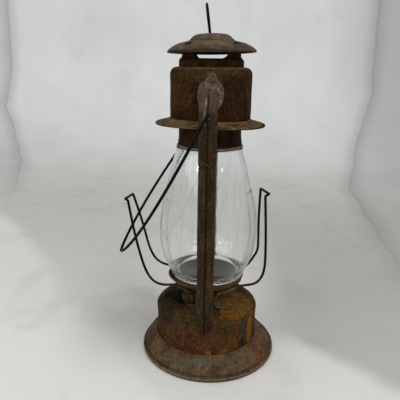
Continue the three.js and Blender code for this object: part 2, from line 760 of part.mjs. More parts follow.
// Stay wires: from under the globe plate down to a curl on the tank, one on each side of each tube
const stayFlat = rounded(
  [
    point(24.4, 31.4, 84.1),
    point(34.8, 20, 84.1),
    point(36, 13.4, 84.1),
    point(36, 10, 78),
    point(36, 9.8, 69),
    point(36, 14.2, 65.8),
    point(36, 18.4, 69.8),
  ],
  [8, 4, 5, 3.2, 3],
  30,
);
const stays = [
  [1, 1],
  [1, -1],
  [-1, 1],
  [-1, -1],
];
stays.forEach(([sx, sy], i) => {
  const path = stayFlat.map((p) => point(p.x * sx, p.y * sy, p.z));
  add(`stay_wire_${i + 1}`, wire(path, 1.15, 6), 0x2a1f16);
});

export default lantern;
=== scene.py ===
"""The looks of an old tubular kerosene lantern: rusted tinplate, wire guards and a clear globe."""

import logging
import math
from dataclasses import dataclass, replace
from enum import Enum
from typing import Optional, Sequence

import bpy
import numpy as np
from mathutils import Matrix, Vector


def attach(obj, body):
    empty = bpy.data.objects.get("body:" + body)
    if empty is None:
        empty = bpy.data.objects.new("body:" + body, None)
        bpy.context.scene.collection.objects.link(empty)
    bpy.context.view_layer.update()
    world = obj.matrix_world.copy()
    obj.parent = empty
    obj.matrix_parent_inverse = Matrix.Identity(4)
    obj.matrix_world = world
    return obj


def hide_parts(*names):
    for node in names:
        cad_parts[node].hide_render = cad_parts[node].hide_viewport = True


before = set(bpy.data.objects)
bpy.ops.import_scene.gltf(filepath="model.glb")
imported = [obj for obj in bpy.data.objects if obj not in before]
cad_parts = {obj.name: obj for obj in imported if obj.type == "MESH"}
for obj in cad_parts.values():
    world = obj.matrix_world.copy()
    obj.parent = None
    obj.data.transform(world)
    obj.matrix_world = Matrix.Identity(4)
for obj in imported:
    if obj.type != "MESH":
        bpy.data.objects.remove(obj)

LOG = logging.getLogger("lantern")
MM = 0.001
SHARP = 35.0  # the angle in degrees past which an edge stays sharp
TIN = 0.9  # the thickness of the pressed sheets
ON_AXIS = 1e-6  # a point with a smaller radius lies on the axis
ACROSS = (1, 0, 0)
PLAIN = (1.0, 1.0, 1.0)
NOISE_MIDDLE = (0.3, 0.7)
SHADES = (0.32, 0.5, 0.68)  # where in the noise the dark, main and light shades lie
SEAM_EDGE = (0.0014, 0.0006)  # metres from a tube's middle where the seam's line ends and is full
SEAM_OUT = (0.056, 0.061)  # metres from the lantern's axis past which the line shows
CLOUDY_FOOT = (0.103, 0.095)  # heights in metres between which the globe's foot turns rough
CHARRED = (0.094, 0.0975)  # heights in metres between which the wick turns black
WEAVE_SCALE = 900.0
LUMP_HEIGHT = 0.00022
LUMP_SCALE = 450.0
WIRE_SHARP = 50
Pair = tuple[float, float]
Triple = tuple[float, float, float]
Colour = Triple
Outline = tuple[Pair, ...]
Box = tuple[Triple, Triple]  # size and centre
Points = np.ndarray
Faces = list[tuple[int, ...]]
Shape = tuple[Points, Faces]
Piece = bpy.types.Object
Material = bpy.types.Material
Socket = bpy.types.NodeSocket
Layer = tuple[Socket, Colour]  # how much of a colour lies where


class Slot(Enum):
    """The record's material slots."""

    BASE = "base_tin"
    TANK = "tank_tin"
    FILLER = "filler_tin"
    BURNER = "burner_metal"
    KNOB = "knob_metal"
    WICK = "wick_cotton"
    PLATE = "plate_tin"
    GLASS = "globe_glass"
    TUBE = "tube_tin"
    CHAMBER = "chamber_tin"
    CANOPY = "canopy_tin"
    CAP = "cap_tin"
    WIRE = "wire"


class Body(Enum):
    """The rigid bodies that the pieces ride on."""

    LANTERN = "lantern"
    HOOD = "hood"
    BAIL = "bail"
    FRONT = "front_guard"
    REAR = "rear_guard"
    KNOB = "wick_knob"
    WICK = "wick"
    FILLER = "filler_cap"


# Lines, profiles and meshes, all in millimetres


def line(*pairs: Pair) -> Points:
    """Returns a profile whose points are (radius, height)."""
    return np.array(pairs, float)


def rounded(points: Points, radii: Sequence[float] | float, step: float = 6.0) -> Points:
    """Replaces the inner corners of a polyline by arcs.

    Args:
        points: the corners, in two or three dimensions.
        radii: one radius for each inner corner, or one for all.
        step: the most that one chord of an arc turns, in degrees.

    Returns:
        The rounded polyline.
    """
    given = np.asarray(points, float)
    flat = given.shape[1] == 2
    pts = np.c_[given, np.zeros(len(given))] if flat else given
    sizes = [radii] * (len(pts) - 2) if np.isscalar(radii) else list(radii)
    out = [pts[0]]
    for i in range(1, len(pts) - 1):
        a = pts[i - 1] - pts[i]
        b = pts[i + 1] - pts[i]
        a /= np.linalg.norm(a)
        b /= np.linalg.norm(b)
        turn = math.pi - math.acos(float(np.clip(a @ b, -1, 1)))
        r = sizes[i - 1]
        if r == 0 or turn < 0.01:
            out.append(pts[i])
            continue
        inward = (a + b) / np.linalg.norm(a + b)
        centre = pts[i] + inward * r / math.cos(turn / 2)
        first = pts[i] + a * r * math.tan(turn / 2) - centre
        last = pts[i] + b * r * math.tan(turn / 2) - centre
        steps = max(2, math.ceil(math.degrees(turn) / step))
        for k in range(steps + 1):
            t = k / steps
            w0 = math.sin((1 - t) * turn) / math.sin(turn)
            w1 = math.sin(t * turn) / math.sin(turn)
            out.append(centre + w0 * first + w1 * last)
    out.append(pts[-1])
    result = np.array(out)
    return result[:, :2] if flat else result


def dense(points: Points, longest: float) -> Points:
    """Returns the polyline with points added so that no piece of it is longer than the length."""
    out = [points[0]]
    for a, b in zip(points[:-1], points[1:]):
        n = max(1, math.ceil(float(np.linalg.norm(b - a)) / longest))
        out.extend(a + (b - a) * k / n for k in range(1, n + 1))
    return np.array(out)


def dense_loop(loop: Points, longest: float) -> Points:
    """Returns a closed loop with points added, its first point not repeated."""
    return dense(np.vstack([loop, loop[:1]]), longest)[:-1]


def sheet(outline: Points, thick: float) -> Points:
    """Makes a closed profile of sheet metal.

    Args:
        outline: one face of the sheet, as (radius, height) points.
        thick: how far to the right of the line the other face lies.

    Returns:
        The closed loop, its first point not repeated.
    """
    step = np.diff(outline, axis=0)
    step /= np.maximum(np.linalg.norm(step, axis=1, keepdims=True), 1e-9)
    into = np.vstack([step[:1], step])
    away = np.vstack([step, step[-1:]])
    n1 = np.c_[into[:, 1], -into[:, 0]]
    mid = n1 + np.c_[away[:, 1], -away[:, 0]]
    mid /= np.maximum(np.linalg.norm(mid, axis=1, keepdims=True), 1e-9)
    grow = thick / np.maximum(0.5, (mid * n1).sum(1))
    return np.vstack([outline, (outline + mid * grow[:, None])[::-1]])


def smooth_line(points: Points, count: int) -> Points:
    """Returns a smooth curve of that many points through a line's points."""
    t = np.r_[0, np.cumsum(np.linalg.norm(np.diff(points, axis=0), axis=1))]
    want = np.linspace(0, t[-1], count)
    return np.c_[tuple(natural_spline(t, points[:, i], want) for i in range(points.shape[1]))]


def natural_spline(x: Points, y: Points, want: Points) -> Points:
    """Evaluates a natural cubic spline.

    Args:
        x: where the values are given, rising.
        y: the values.
        want: where the spline is wanted.

    Returns:
        The spline's values there.
    """
    n = len(x)
    h = np.diff(x)
    system = np.eye(n)
    right = np.zeros(n)
    for i in range(1, n - 1):
        system[i, i - 1 : i + 2] = [h[i - 1], 2 * (h[i - 1] + h[i]), h[i]]
        right[i] = 6 * ((y[i + 1] - y[i]) / h[i] - (y[i] - y[i - 1]) / h[i - 1])
    bend = np.linalg.solve(system, right)
    i = np.clip(np.searchsorted(x, want) - 1, 0, n - 2)
    a = (x[i + 1] - want) / h[i]
    b = (want - x[i]) / h[i]
    return a * y[i] + b * y[i + 1] + ((a**3 - a) * bend[i] + (b**3 - b) * bend[i + 1]) * h[i] ** 2 / 6


@dataclass(frozen=True)
class Waves:
    """A smooth random field: the sum of plane waves of about one length."""

    length: float
    height: float
    seed: int
    count: int = 18

    def at(self, p: Points) -> Points:
        """Returns the field's value at each point."""
        rng = np.random.default_rng(self.seed)
        way = rng.normal(size=(self.count, 3))
        way /= np.linalg.norm(way, axis=1, keepdims=True)
        pitch = self.length * rng.uniform(0.6, 1.6, self.count)
        phase = rng.uniform(0, 2 * math.pi, self.count)
        waves = np.sin(p @ (way * 2 * math.pi / pitch[:, None]).T + phase)
        return waves.sum(1) * self.height / math.sqrt(self.count / 2)


@dataclass(frozen=True)
class Dent:
    """A round dent in a turned wall: where it is, how wide, and how far it goes in."""

    turn: float
    height: float
    wide: float
    deep: float

    def at(self, p: Points) -> Points:
        """Returns how far each point moves towards the axis."""
        around = np.arctan2(p[:, 1], p[:, 0]) - math.radians(self.turn)
        around = (around + math.pi) % (2 * math.pi) - math.pi
        r = np.hypot(p[:, 0], p[:, 1])
        away = np.hypot(around * r, p[:, 2] - self.height) / self.wide
        return self.deep * np.exp(-(away**2))


@dataclass(frozen=True)
class Worn:
    """How far a turned sheet has strayed from true: gentle waves, dents and a tilt."""

    waves: Waves
    dents: tuple[Dent, ...] = ()
    tilt: float = 0.0
    tilt_z: float = 0.0
    saddle: Pair = (0.0, 0.0)
    saddle_r: float = 55.0

    def move(self, p: Points) -> Points:
        """Returns the points moved."""
        r = np.maximum(np.hypot(p[:, 0], p[:, 1]), ON_AXIS)
        inward = sum((d.at(p) for d in self.dents), np.zeros(len(p)))
        swell = self.waves.at(p) * np.clip(r / 12, 0, 1) - inward
        out = p.copy()
        out[:, :2] *= (1 + swell / r)[:, None]
        t = math.radians(self.tilt)
        y = out[:, 1].copy()
        z = out[:, 2] - self.tilt_z
        out[:, 1] = y * math.cos(t) - z * math.sin(t)
        out[:, 2] = y * math.sin(t) + z * math.cos(t) + self.tilt_z
        out[:, 2] += (out[:, :2] ** 2 / self.saddle_r**2 * self.saddle).sum(1)
        return out


def lathe(profile: Points, sides: int) -> Shape:
    """Turns a closed profile about the vertical axis.

    Args:
        profile: the loop as (radius, height); points on the axis become poles.
        sides: how many faces go round.

    Returns:
        The vertices and the faces.
    """
    turns = np.arange(sides) * 2 * math.pi / sides
    verts: list[Points] = []
    rings: list[list[int]] = []
    for r, z in profile:
        start = len(verts)
        if r < ON_AXIS:
            verts.append(np.array([0, 0, z]))
            rings.append([start] * sides)
        else:
            verts.extend(np.array([r * math.cos(t), r * math.sin(t), z]) for t in turns)
            rings.append(list(range(start, start + sides)))
    faces: Faces = []
    for i, ring in enumerate(rings):
        other = rings[(i + 1) % len(rings)]
        if max(profile[i][0], profile[(i + 1) % len(rings)][0]) < ON_AXIS:
            continue
        for k in range(sides):
            q = (k + 1) % sides
            faces.append(tuple(dict.fromkeys((ring[k], ring[q], other[q], other[k]))))
    return np.array(verts), faces


def tube_faces(around: int, rings: int) -> Faces:
    """Returns the faces of a tube of rings with so many points each, both ends closed."""
    faces: Faces = []
    last = (rings - 1) * around
    for start in range(0, last, around):
        for k in range(around):
            q = (k + 1) % around
            faces.append((start + k, start + q, start + around + q, start + around + k))
    return [*faces, tuple(range(around - 1, -1, -1)), tuple(range(last, last + around))]


def carried(path: Points, outlines: Sequence[Points], up: Triple) -> Shape:
    """Carries a closed outline along a path.

    Args:
        path: the path's points.
        outlines: one outline of (x, y) points for each point of the path.
        up: where the outline's x points at the start.

    Returns:
        The vertices and the faces, with both ends closed.
    """
    normal = np.asarray(up, float)
    verts = []
    for i, p in enumerate(path):
        along = path[min(i + 1, len(path) - 1)] - path[max(i - 1, 0)]
        along = along / np.linalg.norm(along)
        normal = normal - along * (normal @ along)
        normal = normal / np.linalg.norm(normal)
        across = np.cross(along, normal)
        verts.append(p + outlines[i][:, :1] * normal + outlines[i][:, 1:] * across)
    return np.vstack(verts), tube_faces(len(outlines[0]), len(path))


def circle(radius: float, sides: int) -> Points:
    """Returns a circle's points."""
    t = np.arange(sides) * 2 * math.pi / sides
    return np.c_[radius * np.cos(t), radius * np.sin(t)]


def new_mesh(
    name: str, verts: Points, edges: Sequence[tuple[int, int]], faces: Sequence[Sequence[int]]
) -> bpy.types.Mesh:
    """Returns a mesh made from millimetre points."""
    mesh = bpy.data.meshes.new(name)
    mesh.from_pydata((np.asarray(verts) * MM).tolist(), edges, [tuple(f) for f in faces])
    return mesh


def linked(name: str, data: bpy.types.ID) -> Piece:
    """Returns a new object in the scene."""
    obj = bpy.data.objects.new(name, data)
    bpy.context.scene.collection.objects.link(obj)
    return obj


def soften(mesh: bpy.types.Mesh, sharp: float = SHARP) -> None:
    """Shades a mesh smooth but for its sharp edges."""
    mesh.shade_smooth()
    mesh.set_sharp_from_angle(angle=math.radians(sharp))


def values_of(items: bpy.types.bpy_prop_collection, name: str, kind: type) -> Points:
    """Returns a property of three numbers for each item, such as each vertex's place."""
    flat = np.empty(len(items) * 3, kind)
    items.foreach_get(name, flat)
    return flat.reshape(-1, 3)


def about_z(degrees: float) -> Matrix:
    """Returns a turn about the vertical axis."""
    return Matrix.Rotation(math.radians(degrees), 4, "Z")


def make_object(name: str, verts: Points, faces: Sequence[Sequence[int]], sharp: float = SHARP) -> Piece:
    """Makes a smooth mesh object from millimetre points.

    Args:
        name: the piece's name.
        verts: its points.
        faces: its faces.
        sharp: the angle in degrees past which an edge stays sharp.

    Returns:
        The object, at the origin, with its faces pointing out.
    """
    obj = linked(name, new_mesh(name, verts, [], faces))
    face_out(obj.data)
    soften(obj.data, sharp)
    return obj


def face_out(mesh: bpy.types.Mesh) -> None:
    """Turns a closed mesh's faces outwards, going by its volume."""
    mesh.update()
    mesh.calc_loop_triangles()
    a, b, c = values_of(mesh.vertices, "co", float)[values_of(mesh.loop_triangles, "vertices", int).T]
    if (a * np.cross(b, c)).sum() < 0:
        mesh.flip_normals()
    mesh.update()


def cut(obj: Piece, cutters: Sequence[Piece], sharp: float = SHARP) -> None:
    """Cuts solids out of an object and removes them.

    Args:
        obj: the object that is cut.
        cutters: the solids to take away.
        sharp: the angle in degrees past which an edge stays sharp.
    """
    for tool in cutters:
        boolean = obj.modifiers.new("cut", "BOOLEAN")
        boolean.operation = "DIFFERENCE"
        boolean.solver = "EXACT"
        boolean.object = tool
    bake(obj)
    for tool in cutters:
        bpy.data.objects.remove(tool)
    soften(obj.data, sharp)


def bake(obj: Piece) -> None:
    """Replaces an object's mesh by what its modifiers make of it, and removes them."""
    bpy.context.view_layer.update()
    graph = bpy.context.evaluated_depsgraph_get()
    mesh = bpy.data.meshes.new_from_object(obj.evaluated_get(graph))
    obj.modifiers.clear()
    obj.data = mesh


def rod(start: Points, end: Points, radius: float, sides: int = 48) -> Shape:
    """Returns a round bar between two points."""
    path = np.array([start, end], float)
    along = path[1] - path[0]
    up = (0, 0, 1) if abs(along[2]) < 0.9 * np.linalg.norm(along) else ACROSS
    return carried(path, [circle(radius, sides)] * 2, up)


def upright(outline: Points, low: float, high: float) -> Shape:
    """Returns a bar with that outline about the vertical axis."""
    return carried(np.array([[0, 0, low], [0, 0, high]]), [outline] * 2, ACROSS)


def joined(*parts: Shape) -> Shape:
    """Puts several closed shapes in one mesh."""
    verts: list[Points] = []
    faces: Faces = []
    count = 0
    for p, f in parts:
        verts.append(p)
        faces.extend(tuple(i + count for i in face) for face in f)
        count += len(p)
    return np.vstack(verts), faces


# Materials


def tone(red: float, green: float, blue: float) -> tuple[float, float, float, float]:
    """Returns a colour given in 0 to 255 display values as the linear one a shader takes."""
    values = [c / 255 for c in (red, green, blue)]
    linear = [c / 12.92 if c <= 0.04045 else ((c + 0.055) / 1.055) ** 2.4 for c in values]
    return (*linear, 1.0)


class Tree:
    """Adds and links the nodes of one node tree."""

    def __init__(self, tree: bpy.types.NodeTree) -> None:
        """Empties the tree."""
        self.tree = tree
        tree.nodes.clear()

    def link(self, value: object, socket: Socket) -> None:
        """Links an output, or sets a plain value."""
        if isinstance(value, Socket):
            self.tree.links.new(value, socket)
        else:
            socket.default_value = value

    def node(
        self, kind: str, settings: Optional[dict[str, object]] = None, **inputs: object
    ) -> bpy.types.Node:
        """Adds a node.

        Args:
            kind: the node's type.
            settings: its own settings by name.
            inputs: a value or an output for each input, by name with _ for a space.

        Returns:
            The node.
        """
        node = self.tree.nodes.new(kind)
        for name, value in (settings or {}).items():
            setattr(node, name, value)
        for name, value in inputs.items():
            self.link(value, next(s for s in node.inputs if s.name == name.replace("_", " ") and s.enabled))
        return node

    def sum(self, operation: str, *values: object) -> Socket:
        """Returns what one arithmetic node makes of the values."""
        node = self.node("ShaderNodeMath", {"operation": operation})
        for value, socket in zip(values, node.inputs):
            self.link(value, socket)
        return node.outputs[0]


class Shade(Tree):
    """Makes one material, which reads Object coordinates."""

    def __init__(self, name: str) -> None:
        """Starts an empty material of that name."""
        self.material = bpy.data.materials.new(name)
        self.material.use_nodes = True
        super().__init__(self.material.node_tree)
        self.place = self.node("ShaderNodeTexCoord").outputs["Object"]

    def stretched(self, scale: Triple, move: Triple = (0.0, 0.0, 0.0)) -> Socket:
        """Returns the place scaled and moved."""
        return self.node(
            "ShaderNodeMapping", Vector=self.place, Scale=scale, Location=move,
        ).outputs["Vector"]

    def noise(
        self, size: float, seed: float, detail: float = 4.0, rough: float = 0.55, scale: Triple = PLAIN
    ) -> Socket:
        """Adds a noise.

        Args:
            size: the size of its blotches in millimetres.
            seed: which noise it is.
            detail: how many finer layers it has.
            rough: how strong the finer layers are.
            scale: how far it is squeezed along each axis.

        Returns:
            The noise's value socket.
        """
        node = self.node(
            "ShaderNodeTexNoise", {"noise_dimensions": "4D"},
            Vector=self.place if scale == PLAIN else self.stretched(scale), W=seed, Scale=1 / (size * MM),
            Detail=detail, Roughness=rough,
        )
        return node.outputs["Fac"]

    def specks(self, size: float, reach: float, seed: float) -> Socket:
        """Returns 1 inside small scattered dots of a reach within cells of a size in millimetres."""
        moved = self.stretched(PLAIN, (seed, seed, 0.0))
        node = self.node("ShaderNodeTexVoronoi", Vector=moved, Scale=1 / (size * MM))
        return self.step(node.outputs["Distance"], reach, reach * 0.55)

    def times(self, a: object, b: object) -> Socket:
        """Returns a product."""
        return self.sum("MULTIPLY", a, b)

    def plus(self, a: object, b: object) -> Socket:
        """Returns a sum."""
        return self.sum("ADD", a, b)

    def less(self, a: object, b: object) -> Socket:
        """Returns the first less the second."""
        return self.sum("SUBTRACT", a, b)

    def size(self, a: object) -> Socket:
        """Returns a value without its sign."""
        return self.sum("ABSOLUTE", a)

    def moved(self, value: object, given: Pair, wanted: Pair, kind: str = "LINEAR") -> Socket:
        """Returns a value moved from one range into another, and held at its ends."""
        node = self.node("ShaderNodeMapRange", {"interpolation_type": kind}, Value=value)
        for name, number in zip(("From Min", "From Max", "To Min", "To Max"), (*given, *wanted)):
            node.inputs[name].default_value = number
        return node.outputs["Result"]

    def step(self, value: object, low: float, high: float) -> Socket:
        """Returns 0 below low and 1 above high, smooth between; low may be the larger."""
        ends = ((high, low), (1.0, 0.0)) if low > high else ((low, high), (0.0, 1.0))
        return self.moved(value, *ends, "SMOOTHSTEP")

    def spread(self, value: object, low: float, high: float) -> Socket:
        """Returns a noise's middle range spread from low to high."""
        return self.moved(value, NOISE_MIDDLE, (low, high))

    def mix(self, share: object, first: object, second: object, how: str = "MIX") -> Socket:
        """Mixes two colours.

        Args:
            share: how much of the second there is.
            first: the colour under it.
            second: the colour over it.
            how: the way they blend.

        Returns:
            The colour socket.
        """
        node = self.node("ShaderNodeMix", {"data_type": "RGBA", "blend_type": how})
        self.link(share, node.inputs[0])
        self.link(first, node.inputs[6])
        self.link(second, node.inputs[7])
        return node.outputs[2]

    def ramp(self, value: object, stops: Sequence[tuple[float, Sequence[float]]]) -> Socket:
        """Returns a value turned into colours."""
        node = self.node("ShaderNodeValToRGB", Fac=value)
        ramp = node.color_ramp
        while len(ramp.elements) < len(stops):
            ramp.elements.new(0.5)
        for element, (where, colour) in zip(ramp.elements, stops):
            element.position = where
            element.color = colour
        return node.outputs["Color"]

    def near(self, centre: Triple, reach: float, soft: float, squeeze: Triple = PLAIN) -> Socket:
        """Returns a mask round a point.

        Args:
            centre: the point in millimetres.
            reach: how far from it the mask fades to nothing, in millimetres.
            soft: the share of the reach over which it fades.
            squeeze: how much nearer the mask ends along each axis.

        Returns:
            The mask, 1 at the point.
        """
        moved = tuple(-c * MM * s for c, s in zip(centre, squeeze))
        node = self.node(
            "ShaderNodeVectorMath", {"operation": "LENGTH"}, Vector=self.stretched(squeeze, moved),
        )
        return self.step(node.outputs["Value"], reach * MM, reach * MM * (1 - soft))

    def axis(self, letter: str) -> Socket:
        """Returns one coordinate of the place."""
        return self.node("ShaderNodeSeparateXYZ", Vector=self.place).outputs[letter]

    def bump(self, height: object, deep: float, strength: float, after: Optional[object] = None) -> Socket:
        """Returns a normal bumped by a height of that many millimetres."""
        node = self.node("ShaderNodeBump", Strength=strength, Distance=deep * MM, Height=height)
        if after is not None:
            self.link(after, node.inputs["Normal"])
        return node.outputs["Normal"]

    def finish(self, **sockets: object) -> Material:
        """Ends the material with a Principled shader.

        Args:
            sockets: a value or an output for each of the shader's sockets, by name with _ for a space.

        Returns:
            The material.
        """
        shader = self.node("ShaderNodeBsdfPrincipled", **sockets)
        self.node("ShaderNodeOutputMaterial", Surface=shader.outputs[0])
        return self.material


@dataclass(frozen=True)
class Patch:
    """A stain, painted shade or painted highlight at one place: its centre and reach in millimetres,
    colour, strength and edges.
    """

    centre: Triple
    reach: float
    colour: Colour
    strength: float = 0.8
    soft: float = 0.6
    squeeze: Triple = PLAIN
    torn: float = 0.95


@dataclass(frozen=True)
class Rust:
    """Rusted tinplate: three shades, an accent, specks, grain, bumps, and stains, painted shade and painted
    highlights at given places.
    """

    name: str
    dark: Colour
    main: Colour
    light: Colour
    accent: Colour
    seed: float
    accent_share: float = 0.35
    blotch: float = 16.0
    streak: Triple = PLAIN
    speck: Colour = (168, 140, 100)
    speck_share: float = 0.5
    grain: float = 0.5
    rough: Pair = (0.62, 0.9)
    metal: float = 0.0
    pits: float = 0.25
    shine: float = 0.05
    seam: bool = False
    patches: tuple[Patch, ...] = ()

    def build(self) -> Material:
        """Returns the material."""
        s = Shade(self.name)
        broad = s.noise(self.blotch, self.seed, 5, 0.6, self.streak)
        shades = (tone(*colour) for colour in (self.dark, self.main, self.light))
        colour = s.ramp(broad, list(zip(SHADES, shades)))
        second = s.noise(self.blotch * 0.7, self.seed + 3.1, 6, 0.65, self.streak)
        edge = 0.5 + 0.3 * (0.5 - self.accent_share)
        colour = s.mix(s.step(second, edge, edge + 0.12), colour, tone(*self.accent))
        torn = s.noise(5.0, self.seed + 7.7, 6, 0.8)
        for patch in self.patches:
            colour = self.lay_patch(s, colour, patch, torn)
        middle = s.spread(s.noise(4.0, self.seed + 2.6, 4, 0.7), 1 - self.grain, 1 + self.grain)
        colour = s.mix(1.0, colour, grey(s, middle), "MULTIPLY")
        fine = s.noise(1.3, self.seed + 5.2, 4, 0.7)
        shade = s.spread(fine, 1 - self.grain, 1 + self.grain)
        colour = s.mix(1.0, colour, grey(s, shade), "MULTIPLY")
        if self.seam:
            colour = self.seamed(s, colour)
        near_by = s.step(s.noise(18.0, self.seed + 6.1, 2), 0.42, 0.6)
        dots = s.times(s.specks(2.8, 0.17, self.seed + 1.4), s.times(near_by, self.speck_share))
        colour = s.mix(dots, colour, tone(*self.speck))
        roughness = s.spread(s.noise(3.5, self.seed + 9.9, 3), *self.rough)
        wide = s.bump(second, 0.9, 0.5)
        normal = s.bump(fine, self.pits, 0.8, wide)
        return s.finish(
            Base_Color=colour, Roughness=roughness, Normal=normal, Metallic=self.metal,
            Specular_IOR_Level=self.shine,
        )

    def seamed(self, s: Shade, colour: object) -> Socket:
        """Returns the colour with a dark line down the seam on each tube's outer face."""
        on_line = s.step(s.size(s.axis("Y")), *SEAM_EDGE)
        outer = s.step(s.size(s.axis("X")), *SEAM_OUT)
        share = s.times(s.times(on_line, outer), 0.8)
        return s.mix(share, colour, tone(34, 15, 7))

    def lay_patch(self, s: Shade, colour: object, patch: Patch, torn: object) -> Socket:
        """Lays one patch over a colour: a stain, painted shade or a painted highlight.

        Args:
            s: the material being built.
            colour: what the patch lies on.
            patch: the stain, painted shade or painted highlight.
            torn: the noise that frays its edge.

        Returns:
            The colour with the patch.
        """
        mask = s.near(patch.centre, patch.reach, patch.soft, patch.squeeze)
        frayed = s.times(mask, s.spread(torn, 1 - patch.torn, 1 + patch.torn))
        share = s.sum("MINIMUM", s.times(s.step(frayed, 0.12, 0.75), patch.strength), 1.0)
        return s.mix(share, colour, tone(*patch.colour))


def grey(s: Shade, value: Socket) -> Socket:
    """Returns a value as a grey colour."""
    return s.node("ShaderNodeCombineColor", Red=value, Green=value, Blue=value).outputs[0]


@dataclass(frozen=True)
class Glass:
    """Clear blown glass with faint streaks and a little dust."""

    name: str = "globe_clear_glass"
    tint: Colour = (245, 248, 247)
    ior: float = 1.47
    wave: float = 0.25
    film: float = 0.08

    def build(self) -> Material:
        """Returns the material."""
        s = Shade(self.name)
        streaks = s.noise(9.0, 2.2, 3, 0.5, (1.0, 1.0, 0.25))
        drawn = s.noise(3.2, 6.4, 3, 0.6, (1.0, 1.0, 0.06))
        dust = s.spread(s.noise(5.0, 8.3, 5, 0.7, (1.0, 1.0, 0.35)), 0.0, 0.10)
        tint = s.mix(s.step(drawn, 0.44, 0.62), tone(255, 255, 255), tone(*self.tint))
        foot = s.times(s.step(s.axis("Z"), *CLOUDY_FOOT), s.spread(streaks, 0.04, 0.24))
        normal = s.bump(streaks, self.wave, 0.5)
        return s.finish(
            Base_Color=tint, Sheen_Weight=self.film, Sheen_Roughness=0.6, Roughness=s.plus(dust, foot),
            IOR=self.ior, Transmission_Weight=1.0, Normal=normal,
        )


@dataclass(frozen=True)
class Cotton:
    """A woven lamp wick, charred at its top."""

    name: str = "wick_weave"

    def build(self) -> Material:
        """Returns the material."""
        s = Shade(self.name)
        weave = s.node("ShaderNodeTexWave", {"bands_direction": "Z"}, Vector=s.place, Scale=WEAVE_SCALE)
        charred = s.step(s.axis("Z"), *CHARRED)
        colour = s.mix(weave.outputs["Fac"], tone(176, 163, 138), tone(140, 126, 104))
        colour = s.mix(charred, colour, tone(24, 20, 17))
        return s.finish(Base_Color=colour, Roughness=0.95, Normal=s.bump(weave.outputs["Fac"], 0.15, 0.7))


@dataclass(frozen=True)
class Backdrop:
    """Pale paper under and behind the lantern, with painted shade and light, the lantern's painted shadow
    and painted shade along two folds; places are in metres.
    """

    floor: Colour = (216, 213, 209)
    wall: Colour = (236, 237, 236)
    # the colours below are painted shade and light: in the creases, a dim band, a lit stretch, the floor's
    # right, high on the wall's right, the lantern's shadow, soft blots, and along and past the folds
    crease_shade: Colour = (190, 189, 182)
    dim: Colour = (172, 171, 160)
    lit: Colour = (234, 232, 228)
    right: Colour = (152, 149, 142)
    high: Colour = (170, 171, 168)
    shadow: Colour = (126, 123, 115)
    blotched_shade: Colour = (150, 148, 142)
    fold: Colour = (118, 119, 119)
    shade_past_fold: Colour = (150, 152, 154)

    def build(self) -> Material:
        """Returns the material: the paper's own colour under its layers of painted shade and light."""
        s = Shade("pale_backdrop")
        wall = s.step(s.axis("X"), -0.45, -1.25)
        wave = s.spread(s.noise(160, 9.6, 3.0, 0.5), -0.02, 0.02)
        colour = s.mix(wall, tone(*self.floor), tone(*self.wall))
        for share, paint in (*self.shades(s, wall, wave), *self.folds(s, wave)):
            colour = s.mix(share, colour, tone(*paint))
        return s.finish(Base_Color=colour, Roughness=0.9)

    def shades(self, s: Shade, wall: Socket, wave: Socket) -> list[Layer]:
        """Lists the shaded and the lit stretches.

        Args:
            s: the material being built.
            wall: 1 on the wall and 0 on the floor.
            wave: what makes their edges wander.

        Returns:
            The layers, the lowest first.
        """
        x, y = s.axis("X"), s.axis("Y")
        # painted shade in the paper's creases
        crease_shading = s.spread(s.noise(220, 4.0, 4, 0.6, (1.0, 1.0, 0.6)), 0.0, 0.3)
        # painted shade in a band across the floor behind the lantern, and painted light on the far left
        # instead
        band = s.times(s.step(x, -1.4, -0.4), s.step(x, 0.0, -0.4))
        dim = s.step(s.less(s.plus(y, wave), s.times(x, 0.8)), -0.15, -0.09)
        lit = s.times(s.step(dim, 1.0, 0.0), s.step(x, -0.6, -0.3))
        # painted shade on the floor's right, behind a slanting edge
        slant = s.plus(s.less(x, s.times(y, 0.52)), s.plus(0.05, wave))
        right = s.times(s.step(y, 0.03, 0.13), s.step(slant, 0.02, -0.02))
        right = s.times(right, s.step(x, -0.8, -0.1))
        # painted shade high on the wall's right
        high = s.times(s.step(y, 0.3, 0.6), wall)
        shadow = s.times(s.near((-25, -105, 0), 95, 0.9, (0.8, 1.0, 1.0)), s.spread(crease_shading, 0.6, 1.0))
        # soft blots of painted shade, mostly on the floor
        blotched_shade = s.step(s.noise(70, 5.5, 5, 0.6), 0.5, 0.66)
        return [
            (crease_shading, self.crease_shade), (s.times(s.times(band, dim), 0.45), self.dim),
            (s.times(lit, 0.35), self.lit), (s.times(right, 0.6), self.right),
            (s.times(high, 0.55), self.high), (s.times(shadow, 0.5), self.shadow),
            (s.times(blotched_shade, s.spread(wall, 0.16, 0.05)), self.blotched_shade),
        ]

    def folds(self, s: Shade, wave: Socket) -> list[Layer]:
        """Lists the painted shade along two folds that run up the wall, and past each.

        Args:
            s: the material being built.
            wave: what makes the folds wander.

        Returns:
            The layers, the lowest first.
        """
        x, y = s.axis("X"), s.axis("Y")
        along = s.less(s.axis("Z"), x)
        lower = s.plus(s.times(along, 0.113), 0.282)
        upper = s.plus(s.times(along, 0.25), 0.185)
        right_fold = s.less(y, s.sum("MINIMUM", s.sum("MAXIMUM", lower, upper), 0.545))
        left_at = s.sum("MINIMUM", s.plus(s.times(along, 0.375), 0.295), 0.79)
        left_fold = s.less(s.times(y, -1.0), left_at)
        layers = []
        # painted shade along each fold's line and over the paper past it
        for fold, deep in ((right_fold, s.step(x, 0.1, -0.5)), (left_fold, s.step(x, -0.4, -1.0))):
            line_at = s.plus(fold, s.times(wave, 0.35))
            past = s.step(line_at, -0.002, 0.006)
            layers.append((s.times(past, s.times(deep, 0.22)), self.shade_past_fold))
            for reach, share in ((0.05, 0.28), (0.007, 0.3)):
                near_it = s.step(s.size(line_at), reach, 0.0)
                layers.append((s.times(near_it, s.times(deep, share)), self.fold))
        return layers


# Geometry Nodes


